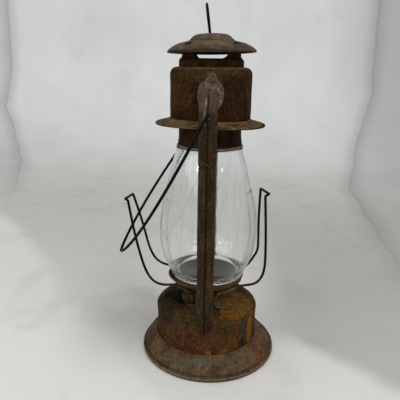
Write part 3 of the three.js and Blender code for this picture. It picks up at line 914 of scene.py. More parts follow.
class Recipe(Tree):
    """A Geometry Nodes tree with named inputs that ends in Realize Instances and Set Material."""

    def __init__(self, name: str) -> None:
        """Starts a tree of that name, with one geometry in and out."""
        super().__init__(bpy.data.node_groups.new(name, "GeometryNodeTree"))
        self.tree.is_modifier = True
        self.sockets: dict[str, str] = {}
        self.tree.interface.new_socket("Geometry", in_out="INPUT", socket_type="NodeSocketGeometry")
        self.tree.interface.new_socket("Geometry", in_out="OUTPUT", socket_type="NodeSocketGeometry")
        self.start = self.tree.nodes.new("NodeGroupInput")
        self.end = self.tree.nodes.new("NodeGroupOutput")

    def need(self, name: str, kind: str, value: object = None) -> Socket:
        """Adds a named input.

        Args:
            name: what the input is called.
            kind: its type, such as Float.
            value: its default.

        Returns:
            The socket that gives its value inside the tree.
        """
        socket = self.tree.interface.new_socket(name, in_out="INPUT", socket_type="NodeSocket" + kind)
        if value is not None:
            socket.default_value = value
        self.sockets[name] = socket.identifier
        return self.start.outputs[name]

    def close(self, geometry: Socket, material: Socket) -> None:
        """Ends the tree with Realize Instances and Set Material."""
        real = self.node("GeometryNodeRealizeInstances", Geometry=geometry)
        dressed = self.node("GeometryNodeSetMaterial", Geometry=real.outputs[0], Material=material)
        self.tree.links.new(dressed.outputs[0], self.end.inputs[0])

    def run(self, obj: Piece, **values: object) -> Piece:
        """Runs the tree on an object and keeps the plain mesh that it makes.

        Args:
            obj: the object whose mesh goes in.
            values: the tree's inputs by name with _ for a space.

        Returns:
            The same object with its new mesh and no modifier.
        """
        modifier = obj.modifiers.new(self.tree.name, "NODES")
        modifier.node_group = self.tree
        for name, value in values.items():
            modifier[self.sockets[name.replace("_", " ")]] = value
        bake(obj)
        return obj


def wire_recipe() -> Recipe:
    """Returns the tree that makes a round wire, a little lumpy with rust, along a line."""
    r = Recipe("rusty_wire")
    radius = r.need("Radius", "Float", 0.0012)
    sides = r.need("Sides", "Int", 16)
    lumps = r.need("Lumps", "Float", 0.0001)
    seed = r.need("Seed", "Float", 1.0)
    material = r.need("Material", "Material")
    curve = r.node("GeometryNodeMeshToCurve", Mesh=r.start.outputs[0])
    ring = r.node("GeometryNodeCurvePrimitiveCircle", Resolution=sides, Radius=radius)
    swept = r.node(
        "GeometryNodeCurveToMesh", Curve=curve.outputs[0], Profile_Curve=ring.outputs[0], Fill_Caps=True,
    )
    noise = r.node("ShaderNodeTexNoise", {"noise_dimensions": "4D"}, W=seed, Scale=LUMP_SCALE, Detail=3.0)
    high = r.sum("MULTIPLY", r.sum("SUBTRACT", noise.outputs[0], 0.5), lumps)
    normal = r.node("GeometryNodeInputNormal").outputs[0]
    push = r.node("ShaderNodeVectorMath", {"operation": "SCALE"}, Vector=normal, Scale=high)
    moved = r.node("GeometryNodeSetPosition", Geometry=swept.outputs[0], Offset=push.outputs[0])
    r.close(moved.outputs[0], material)
    return r


def ring_recipe() -> Recipe:
    """Returns the tree that sets the incoming shape round a circle, as teeth or flutes."""
    r = Recipe("teeth_round_a_rim")
    count = r.need("Count", "Int", 12)
    radius = r.need("Radius", "Float", 0.01)
    material = r.need("Material", "Material")
    ring = r.node("GeometryNodeCurvePrimitiveCircle", Resolution=count, Radius=radius)
    spots = r.node("GeometryNodeCurveToPoints", {"mode": "EVALUATED"}, Curve=ring.outputs[0])
    placed = r.node(
        "GeometryNodeInstanceOnPoints", Points=spots.outputs[0], Instance=r.start.outputs[0],
        Rotation=spots.outputs["Rotation"],
    )
    r.close(placed.outputs[0], material)
    return r


class Workshop:
    def __init__(self) -> None:
        """Builds the shared trees."""
        self.wires = wire_recipe()
        self.rims = ring_recipe()

    def keep(
        self, obj: Piece, material: Material, slot: Slot, *replaces: str, body: Body = Body.LANTERN
    ) -> None:
        """Dresses a finished piece, hangs it under its body's empty and hides the solids that it stands
        for.

        Args:
            obj: the piece.
            material: what it is made of.
            slot: the record's slot that it belongs to; not used.
            replaces: the solids that it stands for.
            body: the rigid body that it rides on.
        """
        obj.data.materials.clear()
        obj.data.materials.append(material)
        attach(obj, body.value)
        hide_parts(*replaces)
        LOG.info("%s: %d faces on %s", obj.name, len(obj.data.polygons), body.value)

    def turned(
        self, name: str, profile: Points, sides: int = 192, worn: Optional[Worn] = None,
        sharp: float = SHARP
    ) -> Piece:
        """Makes a turned piece.

        Args:
            name: its name.
            profile: its closed profile.
            sides: how many faces go round.
            worn: how it has strayed from true.
            sharp: the angle past which its edges stay sharp.

        Returns:
            The object.
        """
        verts, faces = lathe(profile, sides)
        if worn:
            verts = worn.move(verts)
        return make_object(name, verts, faces, sharp)

    def wire(
        self, name: str, path: Points, radius: float, material: Material, seed: float, sides: int = 16
    ) -> Piece:
        """Makes a wire along a path by the shared tree.

        Args:
            name: its name.
            path: its centre line.
            radius: its radius.
            material: what it is made of.
            seed: which lumps it has.
            sides: how many faces go round.

        Returns:
            The object.
        """
        obj = linked(name, new_mesh(name, path, [(i, i + 1) for i in range(len(path) - 1)], []))
        self.wires.run(
            obj, Radius=radius * MM, Sides=sides, Lumps=LUMP_HEIGHT, Seed=seed, Material=material,
        )
        face_out(obj.data)
        soften(obj.data, WIRE_SHARP)
        return obj


@dataclass
class Tank:
    """The base skirt, the fuel tank and its filler."""

    rim_r: float = 75.3
    bead: float = 5.2
    rim_aside: float = 2.6
    skirt_top: float = 21.2
    wall_r: float = 55.9
    low: float = 16.2
    shoulder: float = 54.8
    top: float = 68.2
    hole_r: float = 14.0
    filler: Pair = (-27.0, 30.0)
    neck_r: float = 7.2
    neck_top: float = 72.6
    cap_r: float = 9.8
    cap_top: float = 74.6
    filler_hole: float = 7.5
    flutes: int = 24
    flute: float = 0.62
    flute_ring: float = 9.62
    flute_z: float = 70.6
    floor: Outline = ((54.5, 16.8), (50, 16.8), (47, 19.2), (0, 19.2))

    def skirt_shift(self, p: Points) -> Points:
        """Bends the skirt's foot aside, flattens it on one side and dents its slope a little."""
        out = p.copy()
        rise = np.clip(p[:, 2] / self.skirt_top, 0, 1)
        out[:, 1] += self.rim_aside * (1 - rise)
        out[:, 0] *= np.where(p[:, 0] > 0, 1 - 0.025 * (1 - rise), 1)
        out[:, 2] += Waves(26, 0.22, 11).at(p) * np.sin(math.pi * rise)
        return out

    def build(self, shop: Workshop) -> None:
        """Builds and dresses the pieces."""
        profile = np.vstack(
            [
                rounded(
                    line(
                        (self.wall_r + 0.4, self.skirt_top), (self.wall_r + 1.3, self.skirt_top),
                        (60.6, 19.8), (66.4, 14.6), (71.5, 7.4), (72.2, self.bead - 0.4), (74.0, self.bead),
                        (self.rim_r, 3.6), (self.rim_r, 1.5), (74.2, 0.0),
                    ),
                    [0.3, 6, 10, 2.5, 0.5, 0.9, 0.7, 0.8],
                ),
                line((71.4, 0.0), (70.6, 5.2), (64.6, 14.4), (self.wall_r + 0.4, self.skirt_top - 1.4)),
            ]
        )
        verts, faces = lathe(dense_loop(profile, 1.6), 240)
        skirt = make_object("skirt", self.skirt_shift(verts), faces, 42)
        finish = Rust(
            "skirt_rust", dark=(60, 45, 31), main=(78, 62, 46), light=(92, 76, 58), accent=(69, 54, 41),
            accent_share=0.35, seed=3.0, blotch=14, grain=0.5, speck=(141, 121, 87), speck_share=0.4,
            patches=(
                Patch((37, 61, 7), 15, (100, 61, 22), 0.6, squeeze=(1.3, 1.0, 0.8)),
                Patch((42, -52, 12), 11, (90, 70, 39), 0.6), Patch((16, -64, 14), 18, (58, 37, 24), 0.6),
                Patch((28, 56, 17), 20, (79, 52, 37), 0.45),
                Patch((61, 1, 18.6), 26, (74, 76, 60), 0.45, 0.6, (1.0, 0.7, 3.4)),
                Patch((57, 16, 20.4), 6, (104, 66, 20), 0.6, 0.6, (1.0, 0.6, 2.0)),
                Patch((57, -18, 20.4), 8, (84, 34, 26), 0.6, 0.6, (1.0, 0.6, 2.0)),
                Patch((60, -20, 10), 18, (60, 60, 44), 0.35), Patch((46, 44, 9), 18, (88, 68, 50), 0.6),
                # painted shade in the groove above the bead
                Patch((0, 0, 5.9), 78, (46, 36, 24), 0.4, 0.03, (1, 1, 40), 0.5),
                # painted highlight along the bead
                Patch((0, 0, 3.6), 79, (120, 108, 84), 0.5, 0.03, (1, 1, 34), 0.5),
                # painted shade under the foot's edge
                Patch((0, 0, 0.6), 79, (24, 18, 12), 0.8, 0.03, (1, 1, 40), 0.3),
            ),
        )
        shop.keep(skirt, finish.build(), Slot.BASE, "base_skirt")
        self.build_shell(shop)
        self.build_filler(shop)

    def build_shell(self, shop: Workshop) -> None:
        """Builds the tank's shell and bottom."""
        outline = rounded(
            line(
                (self.wall_r, self.low), (self.wall_r, self.shoulder - 3.2),
                (self.wall_r + 0.45, self.shoulder - 2.6), (self.wall_r + 0.45, self.shoulder - 1.4),
                (self.wall_r - 0.2, self.shoulder - 0.6), (47.4, 60.8), (31, 65.9), (self.hole_r, self.top),
            ),
            [0.4, 0.4, 0.4, 1.2, 10, 20], 5,
        )
        profile = sheet(dense(outline, 1.8)[::-1], 1.0)
        worn = Worn(Waves(34, 0.16, 5), (Dent(28, 47, 13, 0.5), Dent(-50, 38, 11, 0.4)))
        shell = shop.turned("tank", profile, 240, worn, 45)
        hole = make_object("hole", *rod((*self.filler, 40), (*self.filler, 90), self.filler_hole))
        cut(shell, [hole], 45)
        finish = Rust(
            "tank_rust", dark=(38, 24, 11), main=(60, 40, 18), light=(77, 54, 22), accent=(67, 32, 14),
            accent_share=0.4, seed=9.0, blotch=13, grain=0.65, streak=(1.0, 1.0, 0.75),
            patches=(
                Patch((20, 34, 63), 32, (88, 66, 26), 0.8, 0.6, (1, 1, 1.4)),
                Patch((42, 28, 58), 20, (90, 58, 12), 0.65, squeeze=(1, 1, 1.4)),
                Patch((10, -30, 64), 34, (34, 24, 11), 0.8, 0.5),
                Patch((10, -32, 65), 9.5, (6, 14, 10), 1.0, 0.4, (0.7, 1.0, 1.0)),
                Patch((19, -26, 64.5), 8, (6, 12, 7), 1.0, 0.4, (0.8, 1.0, 1.0)),
                Patch((4, -41, 62), 8, (8, 14, 9), 1.0, 0.4, (0.8, 1.0, 1.0)),
                Patch((50, -20, 56), 30, (64, 50, 28), 0.7, 0.5, (1, 1, 2.4)),
                Patch((30, -44, 55), 20, (36, 30, 20), 0.8, 0.5, (1, 1, 1.6)),
                Patch((23, -51, 40), 16, (54, 36, 16), 0.5),
                Patch((41, -37.6, 30), 16, (80, 56, 20), 0.45, squeeze=(1, 1.6, 0.8)),
                Patch((51, -24, 30), 22, (66, 41, 23), 0.6), Patch((55, 4, 40), 16, (67, 41, 25), 0.5),
                Patch((51.5, 21, 36), 17, (76, 47, 20), 0.6), Patch((47, 30, 28), 12, (84, 52, 16), 0.4),
                Patch((50, 24, 50), 14, (44, 38, 22), 0.6),
                Patch((56, 4.3, 23), 4.5, (136, 80, 16), 0.7, 0.7),
                Patch((52, 20, 23), 5, (110, 70, 14), 0.6),
                Patch((37.4, 41, 40), 10.5, (50, 44, 30), 0.9, 0.5, (1.4, 1.4, 0.5), 0.7),
                Patch((39.2, 39.6, 26), 7, (24, 19, 10), 0.8, 0.7, (1.2, 1.2, 0.8)),
                Patch((28, 48, 36), 12, (108, 74, 18), 0.8, 0.5, (1.5, 1.5, 0.5)),
                Patch((-10, 54, 40), 22, (84, 60, 16), 0.5),
                # a darker band round the shoulder: painted shading of its bend
                Patch((0, 0, 54), 62, (50, 40, 24), 0.45, 0.05, (1, 1, 14)),
            ),
        )
        shop.keep(shell, finish.build(), Slot.TANK, "tank_shell")
        floor = rounded(line(*self.floor), [1, 1])
        under = Rust(
            "tank_bottom_rust", dark=(52, 38, 28), main=(76, 58, 42), light=(96, 76, 54),
            accent=(104, 64, 30), seed=14.0,
        )
        bottom = shop.turned("bottom", sheet(dense(floor, 3), TIN), 128, Worn(Waves(40, 0.1, 8)))
        shop.keep(bottom, under.build(), Slot.TANK, "tank_bottom")

    def build_filler(self, shop: Workshop) -> None:
        """Builds the filler's neck and its fluted cap."""
        x, y = self.filler
        neck_line = line(
            (self.neck_r, 57.5), (self.neck_r, self.neck_top), (6.2, self.neck_top), (6.2, 57.5),
        )
        verts, faces = lathe(neck_line, 64)
        neck = make_object("filler_pipe", verts + (x, y, 0), faces)
        finish = Rust(
            "filler_rust", dark=(60, 44, 28), main=(92, 72, 44), light=(122, 98, 62), accent=(104, 64, 30),
            seed=21.0, blotch=7, metal=0.2,
        )
        material = finish.build()
        shop.keep(neck, material, Slot.TANK, "filler_neck")
        outline = rounded(line((self.cap_r, 67.6), (self.cap_r, self.cap_top), (0, self.cap_top)), [1.6])
        verts, faces = lathe(sheet(dense(outline, 1.2)[::-1], TIN), 96)
        verts[:, 2] -= 0.25 * np.exp(-((np.hypot(verts[:, 0], verts[:, 1]) / 4) ** 2))
        cap = make_object("screw_cap", verts + (x, y, 0), faces)
        ribs = make_object("flutes", *upright(circle(self.flute, 10), -2.4, 2.2))
        shop.rims.run(ribs, Count=self.flutes, Radius=self.flute_ring * MM, Material=material)
        ribs.data.transform(Matrix.Translation(Vector((x, y, self.flute_z)) * MM))
        merge(cap, ribs)
        shop.keep(cap, material, Slot.FILLER, "filler_cap", body=Body.FILLER)


def merge(first: Piece, *others: Piece) -> None:
    """Adds other objects' meshes to the first and removes them."""
    parts = []
    for obj in (first, *others):
        parts.append(
            (values_of(obj.data.vertices, "co", float) / MM, [tuple(f.vertices) for f in obj.data.polygons])
        )
    verts, faces = joined(*parts)
    first.data = new_mesh(first.name, verts, [], faces)
    first.data.update()
    soften(first.data)
    for obj in others:
        bpy.data.objects.remove(obj)


@dataclass
class Burner:
    """The burner, its wick and thumb wheel, and the plate that the globe stands on."""

    collar_r: float = 17.5
    collar_top: float = 73.2
    cup_r: float = 16.4
    drum_r: float = 21.0
    shaft_z: float = 79.0
    shaft_r: float = 1.2
    shaft_turn: float = -33.0
    shaft_aside: float = 5.6
    wheel_out: float = 43.2
    plate_low: float = 85.7
    rim_r: float = 41.8
    rim_z: float = 91.7
    platform_r: float = 33.6
    platform_z: float = 92.4
    plate_aside: float = -1.7
    shaft_bore: float = 1.4
    teeth: int = 30
    tooth_ring: float = 6.72
    wick: Pair = (10.4, 2.0)
    wick_low: float = 40.0
    wick_top: float = 97.8
    sleeve: Outline = ((1.35, 16.6), (2.3, 16.6), (2.3, 29), (1.35, 29))
    spur: Outline = ((1.1, -0.7), (2.9, -0.7), (2.9, 0.7), (1.1, 0.7))
    spur_at: Pair = (-3.6, 3.6)
    wheel: Outline = (
        (0, 2.6), (2.9, 2.6), (3.1, 1.5), (6.2, 0.7), (6.8, 1.0), (6.8, -1.0), (6.2, -0.7), (3.1, -1.5),
    )
    hub: Outline = ((3.0, -3.4), (0, -3.4))
    tooth: Outline = ((-0.55, 0), (-0.3, 0.75), (0.3, 0.75), (0.55, 0))
    tooth_half: float = 1.1
    cone: Outline = ((9.2, 95.6), (8.0, 95.8), (7.7, 100.4), (0, 102.6))
    cone_slot: Box = ((11.4, 3.2, 11.6), (0, 0, 104.2))
    wick_pipe: Box = ((12.8, 4.0, 33), (0, 0, 80.5))
    wick_bore: Box = ((11.2, 2.6, 40), (0, 0, 81))

    def on_shaft(self, out: float) -> Points:
        """Returns the point of the shaft's axis that far from the middle."""
        t = math.radians(self.shaft_turn)
        along = np.array([math.cos(t), math.sin(t), 0])
        aside = np.array([-math.sin(t), math.cos(t), 0])
        return along * out + aside * self.shaft_aside + (0, 0, self.shaft_z)

    def laid(self, obj: Piece, out: float) -> Piece:
        """Turns a mesh made about +Z onto the shaft's axis, that far from the middle."""
        turn = about_z(self.shaft_turn) @ Matrix.Rotation(math.pi / 2, 4, "Y")
        obj.data.transform(Matrix.Translation(Vector(self.on_shaft(out)) * MM) @ turn)
        return obj

    def build(self, shop: Workshop) -> None:
        """Builds and dresses the pieces."""
        dark = Rust(
            "burner_rust", dark=(30, 20, 13), main=(56, 38, 25), light=(84, 60, 38), accent=(92, 48, 22),
            seed=31.0, blotch=8, metal=0.15,
        ).build()
        collar = line(
            (13.7, 62.2), (13.7, 68.7), (self.collar_r, 68.7), (self.collar_r, 72.4), (16.7, 73.2),
        )
        collar = np.vstack([rounded(collar, [0, 0, 0.6]), line((12.2, self.collar_top), (12.2, 62.2))])
        ring = shop.turned("tank_collar", dense(collar, 1.5), 128)
        shop.keep(ring, dark, Slot.BURNER, "burner_collar")
        outline = rounded(
            line((9, 73.5), (self.cup_r, 73.5), (self.cup_r, 82), (self.drum_r, 84.2), (self.drum_r, 91.5)),
            [1.5, 2, 1.5],
        )
        cup = shop.turned("burner_cup", sheet(dense(outline, 1.4)[::-1], TIN), 144)
        cut(cup, [make_object("bore", *rod(self.on_shaft(5), self.on_shaft(60), self.shaft_bore))])
        shop.keep(cup, dark, Slot.BURNER, "burner_body")
        sleeve = self.laid(shop.turned("sleeve", line(*self.sleeve), 40), 0)
        shop.keep(sleeve, dark, Slot.BURNER, "shaft_sleeve")
        self.build_wheel(shop)
        self.build_plate(shop)
        self.build_cone(shop, dark)

    def build_wheel(self, shop: Workshop) -> None:
        """Builds the wick shaft and its toothed thumb wheel."""
        red = Rust(
            "wheel_rust", dark=(26, 17, 10), main=(46, 31, 18), light=(68, 54, 36), accent=(56, 32, 16),
            seed=41.0, blotch=5,
        ).build()
        lengths = line(
            (0, -9), (self.shaft_r, -9), (self.shaft_r, self.wheel_out + 1.6), (0, self.wheel_out + 1.6),
        )
        axle = shop.turned("axle", dense(lengths, 2), 28)
        spurs = [shop.turned("spur", line(*self.spur) + (0, out), 12) for out in self.spur_at]
        merge(axle, *spurs)
        shop.keep(self.laid(axle, 0), red, Slot.KNOB, "wick_shaft", body=Body.KNOB)
        face = rounded(line(*self.wheel), [0.5, 0.6, 0.4, 0.4, 0.4, 0.4])
        face = np.vstack([face, line(*self.hub)])
        disc = shop.turned("wheel", dense(face, 0.8), 72)
        tooth = line(*self.tooth)[:, ::-1]
        teeth = make_object("teeth", *upright(tooth, -self.tooth_half, self.tooth_half))
        shop.rims.run(teeth, Count=self.teeth, Radius=self.tooth_ring * MM, Material=red)
        merge(disc, teeth)
        shop.keep(self.laid(disc, self.wheel_out), red, Slot.KNOB, "wick_wheel", body=Body.KNOB)

    def rim_shift(self, p: Points) -> Points:
        """Bends the plate's rim: up on one side, and a little aside and down all round."""
        share = np.clip((np.hypot(p[:, 0], p[:, 1]) - 37.6) / 3.6, 0, 1)
        share = share * share * (3 - 2 * share)
        out = p.copy()
        out[:, 2] += share * (2.1 * p[:, 0] / self.rim_r - 0.5)
        out[:, 1] += share * self.plate_aside
        return out

    def build_plate(self, shop: Workshop) -> None:
        """Builds the globe plate: platform, channel and flared rim."""
        outline = rounded(
            line(
                (8, self.platform_z + 2), (24, self.platform_z + 1.3),
                (self.platform_r - 0.4, self.platform_z), (self.platform_r + 0.6, self.platform_z - 1.2),
                (self.platform_r + 0.9, self.plate_low + 1), (38.2, self.plate_low + 1),
                (39.4, self.plate_low + 2.4), (40.1, self.rim_z - 1.2), (self.rim_r - 0.7, self.rim_z),
                (self.rim_r, self.rim_z - 0.9), (self.rim_r - 0.1, self.rim_z - 2.0),
            ),
            [20, 2, 0.5, 0.6, 1.2, 1.2, 1.5, 0.7, 0.4],
        )
        verts, faces = lathe(sheet(dense(outline, 1.0), TIN), 200)
        plate = make_object(
            "gallery", self.rim_shift(Worn(Waves(24, 0.1, 61), tilt=0.3, tilt_z=88).move(verts)), faces,
        )
        finish = Rust(
            "gallery_rust", dark=(50, 37, 25), main=(73, 55, 37), light=(88, 69, 48), accent=(67, 47, 32),
            accent_share=0.3, seed=51.0, blotch=16, grain=0.2, speck_share=0.1,
            patches=(
                # painted shade on the plate's underside
                Patch((0, 0, 84), 50, (34, 24, 15), 0.9, 0.05, (1, 1, 12), 0.3),
                # painted highlights along the rim's edge at the front, one on each side
                Patch((30, -30, 90.5), 13, (98, 60, 24), 0.5, 0.6, (1.0, 1.0, 4.0)),
                Patch((30, 30, 90.5), 12, (80, 48, 26), 0.5, 0.6, (1.0, 1.0, 4.0)),
                Patch((-38, 0, 90), 36, (48, 32, 18), 0.8, 0.5, (1.0, 0.6, 1.5)),
            ),
        )
        shop.keep(plate, finish.build(), Slot.PLATE, "globe_plate")

    def build_cone(self, shop: Workshop, dark: Material) -> None:
        """Builds the cone over the flame, the wick tube and the wick."""
        outline = rounded(line(*self.cone), [0.4, 3])
        cone = shop.turned("cone", sheet(dense(outline, 0.8), -0.7), 96)
        turn = about_z(self.shaft_turn)
        slot = make_object("slot", *box_shape(*self.cone_slot))
        slot.data.transform(turn)
        cut(cone, [slot])
        ash = Rust(
            "cone_rust", dark=(60, 48, 40), main=(104, 92, 80), light=(132, 120, 106), accent=(88, 60, 40),
            seed=56.0, blotch=7, metal=0.2,
        ).build()
        shop.keep(cone, ash, Slot.BURNER, "burner_cone")
        tube = make_object("wick_pipe", *box_shape(*self.wick_pipe))
        bore = make_object("wick_bore", *box_shape(*self.wick_bore))
        for obj in (tube, bore):
            obj.data.transform(turn)
        cut(tube, [bore])
        shop.keep(tube, dark, Slot.BURNER, "wick_tube")
        rise = np.array([[0, 0, z] for z in np.linspace(self.wick_low, self.wick_top, 60)])
        wick = make_object("woven_wick", *carried(rise, [band_outline(*self.wick)] * 60, ACROSS))
        wick.data.transform(turn)
        shop.keep(wick, Cotton().build(), Slot.WICK, "wick", body=Body.WICK)


def band_outline(wide: float, thick: float) -> Points:
    """Returns the outline of a flat band with round edges."""
    r = thick / 2
    t = np.linspace(-math.pi / 2, math.pi / 2, 7)
    right = np.c_[wide / 2 - r + r * np.cos(t), r * np.sin(t)]
    return np.vstack([right, -right])


def box_shape(size: Triple, centre: Triple) -> Shape:
    """Returns a box."""
    corners = np.array([(x, y, z) for x in (-0.5, 0.5) for y in (-0.5, 0.5) for z in (-0.5, 0.5)])
    faces = [(0, 1, 3, 2), (4, 6, 7, 5), (0, 4, 5, 1), (2, 3, 7, 6), (0, 2, 6, 4), (1, 5, 7, 3)]
    return corners * size + centre, faces


@dataclass
class Globe:
    """The clear blown globe."""

    glass: float = 1.8
    outline: Outline = (
        (37.0, 87.4), (38.3, 90.0), (40.0, 94.0), (44.6, 104), (48.2, 112.5), (51.3, 127), (52.5, 146),
        (50.9, 163), (46.4, 184), (40.0, 210), (36.0, 224), (34.5, 229.5), (34.2, 232.3),
    )
    foot_top: float = 103.5
    foot: Outline = ((35.2, 87.4), (34.9, 93.2), (31.3, 93.6), (32.4, 96.4), (38.6, 98.0))

    def thick(self, outside: Points) -> Points:
        """Returns the wall as a closed profile, drawn in to a thick round bead at its foot."""
        inside = sheet(outside[::-1], self.glass)[len(outside) :]
        inside = inside[inside[:, 1] > self.foot_top]
        foot = rounded(np.vstack([self.foot, inside[:1]]), [0.5, 0.9, 2.5, 6], 8)
        return np.vstack([outside[::-1], foot, inside[1:]])

    def build(self, shop: Workshop) -> None:
        """Builds and dresses the globe."""
        outside = smooth_line(np.array(self.outline), 120)
        globe = shop.turned("glass_globe", self.thick(outside), 256, Worn(Waves(60, 0.12, 71)), 50)
        shop.keep(globe, Glass().build(), Slot.GLASS, "globe")


@dataclass
class SideTubes:
    """The two bowed tubes with their seam, and what is fixed to them."""

    radius: float = 8.35
    out: float = 62.4
    foot_out: float = 48.5
    foot_z: float = 50.0
    bow: float = 96.0
    elbow_r: float = 17.5
    elbow_z: float = 283.6
    pivot_z: float = 272.0
    chamber_r: float = 40.9
    rivet: Pair = (2.3, 302.2)
    rivet_head: float = 1.9
    rivet_r: float = 4.7
    dimple: float = 1.3
    dimple_r: float = 1.3
    bracket_tin: float = 1.3
    bracket_edge: float = 0.86  # the share of the way out where its edge starts to round over
    lip: float = 4.5
    lip_wide: float = 5.0
    ear_boss: Outline = ((1.58, 71.2), (1.58, 74.0), (4.3, 74.0), (4.3, 70.6), (1.58, 70.6))
    saddle_r: Pair = (9.4, 10.1)
    saddle_turn: float = 25.0
    saddle_below: float = 9.7
    saddle_above: float = 3.3
    bracket: Outline = (
        (2.3, 306.9), (5.2, 306.0), (6.8, 303.2), (7.4, 299.6), (10.4, 297.3), (12.6, 294.4), (13.4, 290.6),
        (13.1, 285.3), (11.4, 279.4), (9.0, 275.0), (4.0, 272.5), (-4.0, 272.5), (-9.0, 276.0),
        (-10.2, 280.5), (-11.0, 286.0), (-10.6, 291.0), (-9.2, 295.4), (-7.2, 298.7), (-3.2, 299.4),
        (-2.3, 303.2), (-0.6, 306.0),
    )
    seam: Outline = (
        (0.0, -0.75), (2.5, -0.7), (5.0, -0.2), (8.0, 0.62), (12.0, 0.75), (16.0, 0.6), (20.0, 0.15),
        (24.0, 0.0),
    )

    def path(self) -> Points:
        """Returns the tube's centre line from the tank to the chamber."""
        turn = 2 * math.atan((self.out - self.foot_out) / self.foot_z)
        top = self.foot_z * 2
        t = np.linspace(turn, 0, 28)
        bow = np.c_[self.out - self.bow * (1 - np.cos(t)), t * 0, top - self.bow * np.sin(t)]
        rise = np.array([[self.out, 0, top + 5], [self.out, 0, self.elbow_z], [40.2, 0, self.elbow_z]])
        return dense(np.vstack([bow, rounded(rise, self.elbow_r, 4)]), 2.4)

    def outline(self, at: Points, seed: int) -> Points:
        """Returns the tube's outline with its seam, a little out of true at each place."""
        degrees = np.array([d for d, _ in self.seam])
        rise = np.array([h for _, h in self.seam])
        plain = np.linspace(30, 330, 60)
        turns = np.radians(np.r_[degrees, plain, 360 - degrees[:0:-1]])
        high = np.r_[rise, plain * 0, rise[:0:-1]]
        wave = Waves(40, 0.10, seed).at(at + np.c_[np.cos(turns), np.sin(turns), turns * 0] * self.radius)
        r = self.radius + high + wave
        return np.c_[r * np.cos(turns), r * np.sin(turns)]

    def build(self, shop: Workshop) -> None:
        """Builds and dresses both sides."""
        skin = Rust(
            "tube_rust", dark=(25, 16, 5), main=(43, 31, 10), light=(62, 47, 20), accent=(50, 27, 8),
            accent_share=0.4, seed=81.0, blotch=9, streak=(1.0, 1.0, 0.45), speck=(176, 160, 130),
            speck_share=0.7, grain=0.6, rough=(0.5, 0.8), shine=0.12, seam=True,
            patches=(
                # painted light on the near elbow's upward face
                Patch((66, 0, 288), 20, (76, 64, 50), 0.85, 0.5, (0.5, 1.0, 1.0)),
                Patch((72, 6, 262), 20, (44, 34, 18), 0.5, 0.7, (0.5, 1.0, 0.6)),
                # painted highlight along the seam's ridge below and on the elbow
                Patch((71, -2.6, 270), 7, (130, 120, 100), 0.5, 0.7, (0.5, 3.4, 0.6)),
                Patch((71, -1.6, 284), 5, (150, 140, 124), 0.5, 0.7, (0.5, 3.0, 0.6)),
                # the first patch: painted light on the far elbow's top, as on the near one
                Patch((-62, 0, 288), 20, (71, 55, 30), 0.5), Patch((64, 0, 34), 15, (60, 40, 20), 0.8, 0.4),
                Patch((-64, 0, 34), 15, (60, 40, 20), 0.8, 0.4),
            ),
        )
        material = skin.build()
        pressed = replace(
            skin, name="bracket_rust", dark=(40, 31, 20), main=(76, 64, 48), light=(104, 90, 72),
            shine=0.25,
        )
        bracket = replace(pressed, seam=False, patches=()).build()
        for side, sign, turn in ((1, 1, 0), (2, -1, 180)):
            for piece, made_of, *solids in (
                (self.tube(side, sign), material, f"side_tube_{side}"),
                (self.elbow_bracket(side), bracket, f"tube_collar_{side}", f"chamber_rivet_{side}"),
                (self.ear(side), material, f"bail_ear_{side}"),
            ):
                piece.data.transform(about_z(turn))
                shop.keep(piece, made_of, Slot.TUBE, *solids)

    def tube(self, side: int, sign: int) -> Piece:
        """Returns one tube, with the waves that its side gives it."""
        path = self.path()
        rings = [self.outline(p * sign, 82 + side) for p in path]
        return make_object(f"tube_{side}", *carried(path, rings, ACROSS), 60)

    def elbow_bracket(self, side: int) -> Piece:
        """Returns the pressed bracket that holds the elbow on the chamber, with its rivet's head."""
        turns = np.linspace(0, 2 * math.pi, 160, endpoint=False)
        way = np.c_[np.cos(turns), np.sin(turns)]
        reach = self.bracket_reach(turns)
        shares = np.linspace(0, 1, 40)
        inner = self.radius + 0.12
        rows = []
        for share in shares:
            flat = way * (inner + (reach - inner) * share)[:, None]
            rows.append(np.c_[flat, self.bracket_height(flat, share)])
        front = np.vstack(rows)
        verts = []
        for cells in (front, front * (1, 1, 0) - (0, 0, 0.1)):
            out = np.sqrt(np.maximum(self.chamber_r**2 - cells[:, 0] ** 2, 1)) + cells[:, 2]
            verts.append(np.c_[out, cells[:, 0], cells[:, 1] + self.elbow_z])
        n, m = len(turns), len(shares)

        def at(layer: int, row: int, k: int) -> int:
            """Returns a point's number."""
            return layer * n * m + row * n + k % n

        faces = []
        for k in range(n):
            for row in range(m - 1):
                faces.append((at(0, row, k), at(0, row, k + 1), at(0, row + 1, k + 1), at(0, row + 1, k)))
                faces.append((at(1, row, k), at(1, row + 1, k), at(1, row + 1, k + 1), at(1, row, k + 1)))
            faces.append((at(0, m - 1, k), at(0, m - 1, k + 1), at(1, m - 1, k + 1), at(1, m - 1, k)))
            faces.append((at(0, 0, k + 1), at(0, 0, k), at(1, 0, k), at(1, 0, k + 1)))
        return make_object(f"elbow_bracket_{side}", np.vstack(verts), faces, 60)

    def bracket_reach(self, turns: Points) -> Points:
        """Returns how far the bracket's shield-shaped outline lies from the elbow's axis each way."""
        y, z = np.array(self.bracket).T
        turn = np.unwrap(np.arctan2(z - self.elbow_z, y))
        far = np.hypot(y, z - self.elbow_z)
        order = np.argsort(turn)
        turn, far = turn[order], far[order]
        at = np.r_[turn - 2 * math.pi, turn, turn + 2 * math.pi]
        want = np.where(turns > turn[-1], turns - 2 * math.pi, turns)
        fine = np.interp(want, at, np.tile(far, 3))
        soft = sum(np.roll(fine, k) for k in range(-2, 3)) / 5
        return np.maximum(soft, self.radius + 1.2)

